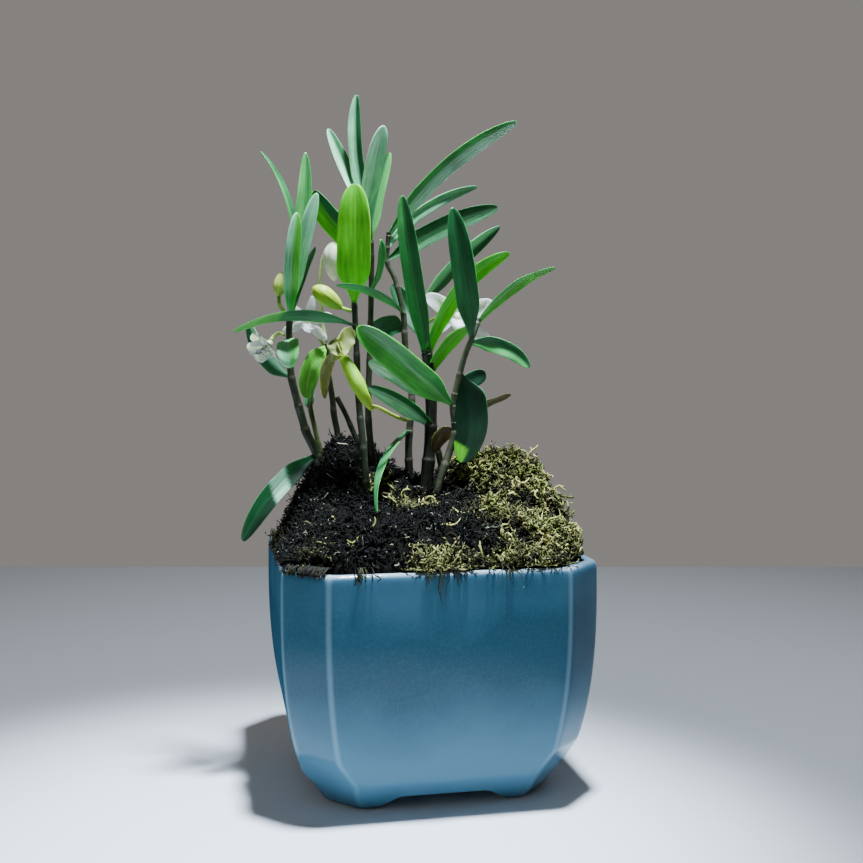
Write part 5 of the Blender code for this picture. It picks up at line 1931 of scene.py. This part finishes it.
@dataclass(frozen=True)
class PeatMix(Finish):
    """Damp peat or rotted bark, a loose crumbly fill.

    To the eye it is nearly black and has no shine, with brown crumbs.
    """

    crumb_mm: float = 1.4
    crumb_height: float = 0.8  # millimetres
    dark: str = "060606"
    brown: str = "17130d"

    def build(self) -> Look:
        """Makes the material.

        Returns:
            The material, dark with brown crumbs.
        """
        made, shader, add = self.start()
        where = add("TexCoord")
        crumbs = add("TexNoise", {"Vector": (where, "Object"), "Scale": per_mm(self.crumb_mm),
                                  "Detail": 6.0, "Roughness": 0.7})
        share = add("MapRange", [(crumbs, 0), 0.42, 0.68, 0.0, 1.0])
        mixed = add("Mix", {SHARE: share, FIRST: rgba(self.dark), SECOND: rgba(self.brown)}, data_type="RGBA")
        bump = add("Bump", {"Height": (crumbs, 0), "Strength": 1.0, "Distance": self.crumb_height * MM})
        plug(shader, {"Base Color": (mixed, MIXED), "Normal": bump})
        return made


@dataclass(frozen=True)
class CrackleGlaze(Finish):
    """Stoneware, dipped and fired in a glassy grey-blue glaze.

    To the eye it is glossy, deeper and paler in soft clouds, with a faint net of fine crackle inside.
    Its lower part is lighter as a painted reflection of the lit floor and its upper part lighter as a
    painted highlight; the front of the rim is pale as a painted highlight, and the upright corner
    edges are paler, partly glaze drawn thin and partly painted highlight.
    """

    deep: str = "2c4e60"
    light: str = "42697e"
    edge: str = "9aabb2"  # painted highlight along the front of the rim
    thin: str = "7ba3b4"  # paler over the upright edges of the corners, partly glaze drawn thin and partly painted highlight
    thinned_edge_and_highlight_share: float = 0.4
    thinned_edge_and_highlight_bends: Span = (0.6, 1.0)  # how far the surface has to turn from the nearest face for that
    thinned_edge_and_highlight_foot: Span = (8.0, 20.0)  # height where the pale edges fade in, in millimetres as all here
    painted_floor_reflection: Span = (12.0, 42.0)  # heights between which the lower part, lighter as a painted reflection of the lit floor, ends
    painted_upper_highlight: Span = (45.0, 60.0)  # and where it gets lighter toward the rim, a painted highlight
    rim_highlight_heights: Span = (66.9, 67.9)  # height where the rim and its painted highlight begin
    rim_highlight_front: Span = (-41.5, -37.0)  # and how far back the painted highlight on the rim reaches
    cloud_mm: float = 30.0
    crackle_mm: float = 1.7
    crackle_bend: float = 3.0  # size of the bends in its lines
    swell_mm: float = 14.0  # size of the unevenness that the reflections show
    side_facing: Span = (0.8, 0.95)  # how squarely a face looks aside where its gloss ends
    line: str = "406f86"
    speck: str = "dfe8e6"
    speck_mm: float = 0.45
    # pinholes in the glaze, on plant axes
    specks: tuple[Triple, ...] = ((-1.0, -45.0, 47.3), (26.2, -40.3, 62.7), (27.9, -40.0, 63.3))

    def build(self) -> Look:
        """Makes the material.

        Returns:
            The material, with the painted highlight on its rim, its pale corner edges and its pinholes.
        """
        made, shader, add = self.start()
        where = add("TexCoord")
        cloud = add("TexNoise", {"Vector": (where, "Object"), "Scale": per_mm(self.cloud_mm), "Detail": 4.0})
        parts = add("SeparateXYZ", [(where, "Object")])
        # lighter low down as a painted reflection of the lit floor, and lighter near the rim as a painted
        # highlight
        low = add("MapRange", [(parts, "Z"), self.painted_floor_reflection[0] * MM, self.painted_floor_reflection[1] * MM, 0.45, -0.35])
        top = add("MapRange", [(parts, "Z"), self.painted_upper_highlight[0] * MM, self.painted_upper_highlight[1] * MM, 0.0, 0.4])
        height = add("Math", [low, top], operation="ADD")
        depth = add("Math", [(cloud, 0), height], operation="ADD")
        share = add("MapRange", [depth, 0.3, 0.85, 0.0, 1.0])
        body = add("Mix", {SHARE: share, FIRST: rgba(self.deep), SECOND: rgba(self.light)}, data_type="RGBA")
        bend = add("TexNoise", {"Vector": (where, "Object"), "Scale": per_mm(self.crackle_bend),
                                "Detail": 2.0})
        shift = add("VectorMath", {0: (bend, "Color"), "Scale": self.crackle_bend / 2 * MM},
                    operation="SCALE")
        moved = add("VectorMath", [(where, "Object"), shift], operation="ADD")
        cells = add("TexVoronoi", {"Vector": moved, "Scale": per_mm(self.crackle_mm)},
                    feature="DISTANCE_TO_EDGE")
        crack = add("MapRange", [(cells, 0), 0.0, 0.08, 0.2, 0.0])
        colour = add("Mix", {SHARE: crack, FIRST: (body, MIXED), SECOND: rgba(self.line)}, data_type="RGBA")
        facing = add("SeparateXYZ", [(where, "Normal")])
        # paler over the rounded upright corners, partly glaze drawn thin and partly painted highlight
        round_axis = add("Math", [(facing, "Y"), (facing, "X")], operation="ARCTAN2")
        eighths = add("Math", [round_axis, 4.0], operation="MULTIPLY")
        folds = add("Math", [eighths], operation="SINE")
        bends = add("Math", [folds], operation="ABSOLUTE")
        crease = add("MapRange", [bends, self.thinned_edge_and_highlight_bends[0], self.thinned_edge_and_highlight_bends[1], 0.0, self.thinned_edge_and_highlight_share])
        above = add("MapRange", [(parts, "Z"), self.thinned_edge_and_highlight_foot[0] * MM, self.thinned_edge_and_highlight_foot[1] * MM, 0.3, 1.0])
        crease = add("Math", [crease, above], operation="MULTIPLY")
        colour = add("Mix", {SHARE: crease, FIRST: (colour, MIXED), SECOND: rgba(self.thin)},
                     data_type="RGBA")
        # painted highlight along the front of the rim
        high = add("MapRange", [(parts, "Z"), self.rim_highlight_heights[0] * MM, self.rim_highlight_heights[1] * MM])
        rim_front_highlight = add("MapRange", [(parts, "Y"), self.rim_highlight_front[0] * MM, self.rim_highlight_front[1] * MM, 1.0, 0.2])
        rim = add("Math", [high, rim_front_highlight], operation="MULTIPLY")
        colour = add("Mix", {SHARE: rim, FIRST: (colour, MIXED), SECOND: rgba(self.edge)}, data_type="RGBA")
        for place in self.specks:
            away = add("VectorMath", [(where, "Object"), at(place) * MM], operation="DISTANCE")
            near = add("MapRange", [(away, "Value"), self.speck_mm * MM * 0.6, self.speck_mm * MM, 0.8, 0.0])
            colour = add("Mix", {SHARE: near, FIRST: (colour, MIXED), SECOND: rgba(self.speck)},
                         data_type="RGBA")
        plug(shader, {"Base Color": (colour, MIXED)})
        across = add("Math", [(facing, "X")], operation="ABSOLUTE")
        gloss = add("MapRange", [across, self.side_facing[0], self.side_facing[1], self.gloss, 0.0])
        plug(shader, {"Specular IOR Level": gloss})
        swell = add("TexNoise", {"Vector": (where, "Object"), "Scale": per_mm(self.swell_mm), "Detail": 1.0})
        bump = add("Bump", {"Height": (swell, 0), "Strength": 0.25, "Distance": 0.5 * MM})
        plug(shader, {"Normal": bump})
        return made


@dataclass(frozen=True)
class Plain(Finish):
    """Matt paint of the stage, which isn't part of the object."""

    colour: str = "e9ecee"

    def build(self) -> Look:
        """Makes the material.

        Returns:
            The material, of one colour.
        """
        made, shader, _ = self.start()
        shader.inputs["Base Color"].default_value = rgba(self.colour)
        return made


@dataclass(frozen=True)
class Studio:
    """The floor, the lights and the camera, none of them part of the object."""

    eye: Triple = (3.06, -335.0, 121.0)
    pitch: float = 3.03  # degrees down
    lens: float = 45.89
    sensor: float = 36.0
    floor_back: float = 348.0  # where the floor ends behind the plant
    floor_front: float = 240.0  # and in front of it
    floor_reach: float = 900.0
    room: str = "928e8b"
    wall_light: float = 0.84  # strength of the room's light from behind the plant
    room_light: float = 0.24  # and from the front
    wall_edges: Span = (-0.1, 0.88) # how squarely behind it the one starts and the other is full
    lamp_place: Triple = (42.0, -58.0, 540.0)
    lamp_target: Triple = (-32.0, -68.0, 0.0)
    lamp_radius: float = 24.0
    lamp_power: float = 50.0
    lamp_angle: float = 34.0
    lamp_tint: str = "dfeeff"
    spill_power: float = 7.0  # what the same lamp throws wide of its beam
    spill_angle: float = 100.0
    spill_target: Triple = (0.0, 60.0, 0.0)
    fill_place: Triple = (-700.0, -900.0, 700.0)
    fill_target: Triple = (0.0, 0.0, 100.0)
    fill_size: float = 900.0
    fill_power: float = 1.5

    def lamp(self, name: str, power: float, angle: float) -> bpy.types.Light:
        """Makes a round lamp overhead whose light fades to the sides.

        Args:
            name: its name.
            power: in watts.
            angle: of its beam, in degrees.

        Returns:
            The lamp.
        """
        made = bpy.data.lights.new(name, "SPOT")
        made.energy = power
        made.spot_size = math.radians(angle)
        made.spot_blend = 1.0
        made.shadow_soft_size = self.lamp_radius * MM
        made.color = rgba(self.lamp_tint)[:3]
        return made

    def fill(self) -> bpy.types.Light:
        """Makes the wide weak light from the front left.

        Returns:
            The light.
        """
        made = bpy.data.lights.new("lamp_fill", "AREA")
        made.shape = "DISK"
        made.size = self.fill_size * MM
        made.energy = self.fill_power
        return made

    def hang(self, lamp: bpy.types.Light, place: Triple, target: Triple) -> None:
        """Hangs a lamp so that it shines on a place.

        Args:
            lamp: the lamp.
            place: where it hangs, on plant axes.
            target: what it shines on, on plant axes.
        """
        holder = bpy.data.objects.new(lamp.name, lamp)
        bpy.context.scene.collection.objects.link(holder)
        holder.location = at(place) * MM
        holder.rotation_euler = (at(target) - at(place)).to_track_quat("-Z", "Y").to_euler()

    def room_world(self) -> None:
        """Makes the soft light of the room, which is stronger from the wall behind the plant."""
        world = bpy.data.worlds.new("soft_room")
        world.use_nodes = True
        add = partial(add_node, world.node_tree)
        where = add("TexCoord")
        behind = add("VectorMath", [(where, "Generated"), turned((0.0, 1.0, 0.0))], operation="DOT_PRODUCT")
        strength = add("MapRange", [(behind, "Value"), self.wall_edges[0], self.wall_edges[1],
                                    self.room_light, self.wall_light])
        plug(world.node_tree.nodes["Background"], {"Color": rgba(self.room), "Strength": strength})
        bpy.context.scene.world = world

    def build(self) -> None:
        """Sets up the stage."""
        bm = bmesh.new()
        bmesh.ops.create_grid(bm, x_segments=1, y_segments=1, size=1)
        for vert in bm.verts:
            depth = self.floor_back if vert.co.y > 0 else -self.floor_front
            vert.co = at((vert.co.x * self.floor_reach, depth, 0)) * MM
        mesh = bpy.data.meshes.new("studio_floor")
        bm.to_mesh(mesh)
        bm.free()
        mesh.materials.append(Plain("matt_floor", roughness=0.6).build())
        floor = bpy.data.objects.new("studio_floor", mesh)
        bpy.context.scene.collection.objects.link(floor)
        beam = self.lamp("lamp_beam", self.lamp_power, self.lamp_angle)
        spill = self.lamp("lamp_spill", self.spill_power, self.spill_angle)
        self.hang(beam, self.lamp_place, self.lamp_target)
        self.hang(spill, self.lamp_place, self.spill_target)
        self.hang(self.fill(), self.fill_place, self.fill_target)
        self.room_world()
        camera = bpy.data.cameras.new("camera")
        camera.lens = self.lens
        camera.sensor_width = self.sensor
        holder = bpy.data.objects.new("camera", camera)
        bpy.context.scene.collection.objects.link(holder)
        holder.location = at(self.eye) * MM
        holder.rotation_euler = (math.radians(90 - self.pitch), 0, PLANT_TURN)
        bpy.context.scene.camera = holder


def main() -> None:
    """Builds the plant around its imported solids."""
    logging.basicConfig(level=logging.INFO, format="%(message)s")
    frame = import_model()
    Studio().build()
    leaf = WaxyLeaf("waxy_leaf", roughness=0.36, gloss=0.4, scatter=0.45, scatter_mm=0.5,
                    scatter_colour=(0.5, 1.0, 0.25)).build()
    skin = CaneSkin("cane_skin", roughness=0.6).build()
    petals = PetalTissue("petal_tissue", roughness=0.45, scatter=0.9, scatter_mm=1.6,
                         scatter_colour=(1.0, 1.0, 0.7)).build()
    bud_skin = PetalTissue("bud_skin", roughness=0.4, scatter=0.7, scatter_mm=1.2,
                           scatter_colour=(0.8, 1.0, 0.3), throat="86a83a", throat_end=0.5).build()
    limp = PetalTissue("limp_petal", roughness=0.55, scatter=0.8, scatter_mm=1.2,
                       scatter_colour=(0.9, 1.0, 0.3), throat="9ab83c", throat_end=0.3).build()
    moss = MossFibre("moss_fibre", roughness=0.8, gloss=0.2).build()
    fibre = MossFibre("root_fibre", roughness=0.7, gloss=0.2).build()
    peat = PeatMix("damp_peat", roughness=0.95, gloss=0.1).build()
    glaze = CrackleGlaze("crackle_glaze", roughness=0.06, ior=1.5, gloss=0.12).build()
    Pot().build(glaze)
    medium = frame["nodes"]["growing_medium"]
    medium.data.materials.clear()
    bark_mix = PeatMix("bark_mix", roughness=0.9, crumb_mm=4.0, dark="120d08", brown="4a3422").build()
    medium.data.materials.append(bark_mix)
    for cane in CANES:
        cane.build([leaf, skin])
    for bloom in BLOOMS:
        bloom.build(petals, bud_skin)
    for bud in BUDS:
        bud.build(bud_skin)
    FadingBloom().build(limp)
    MossMound().build(peat, moss, fibre)


if __name__ == "__main__":
    main()
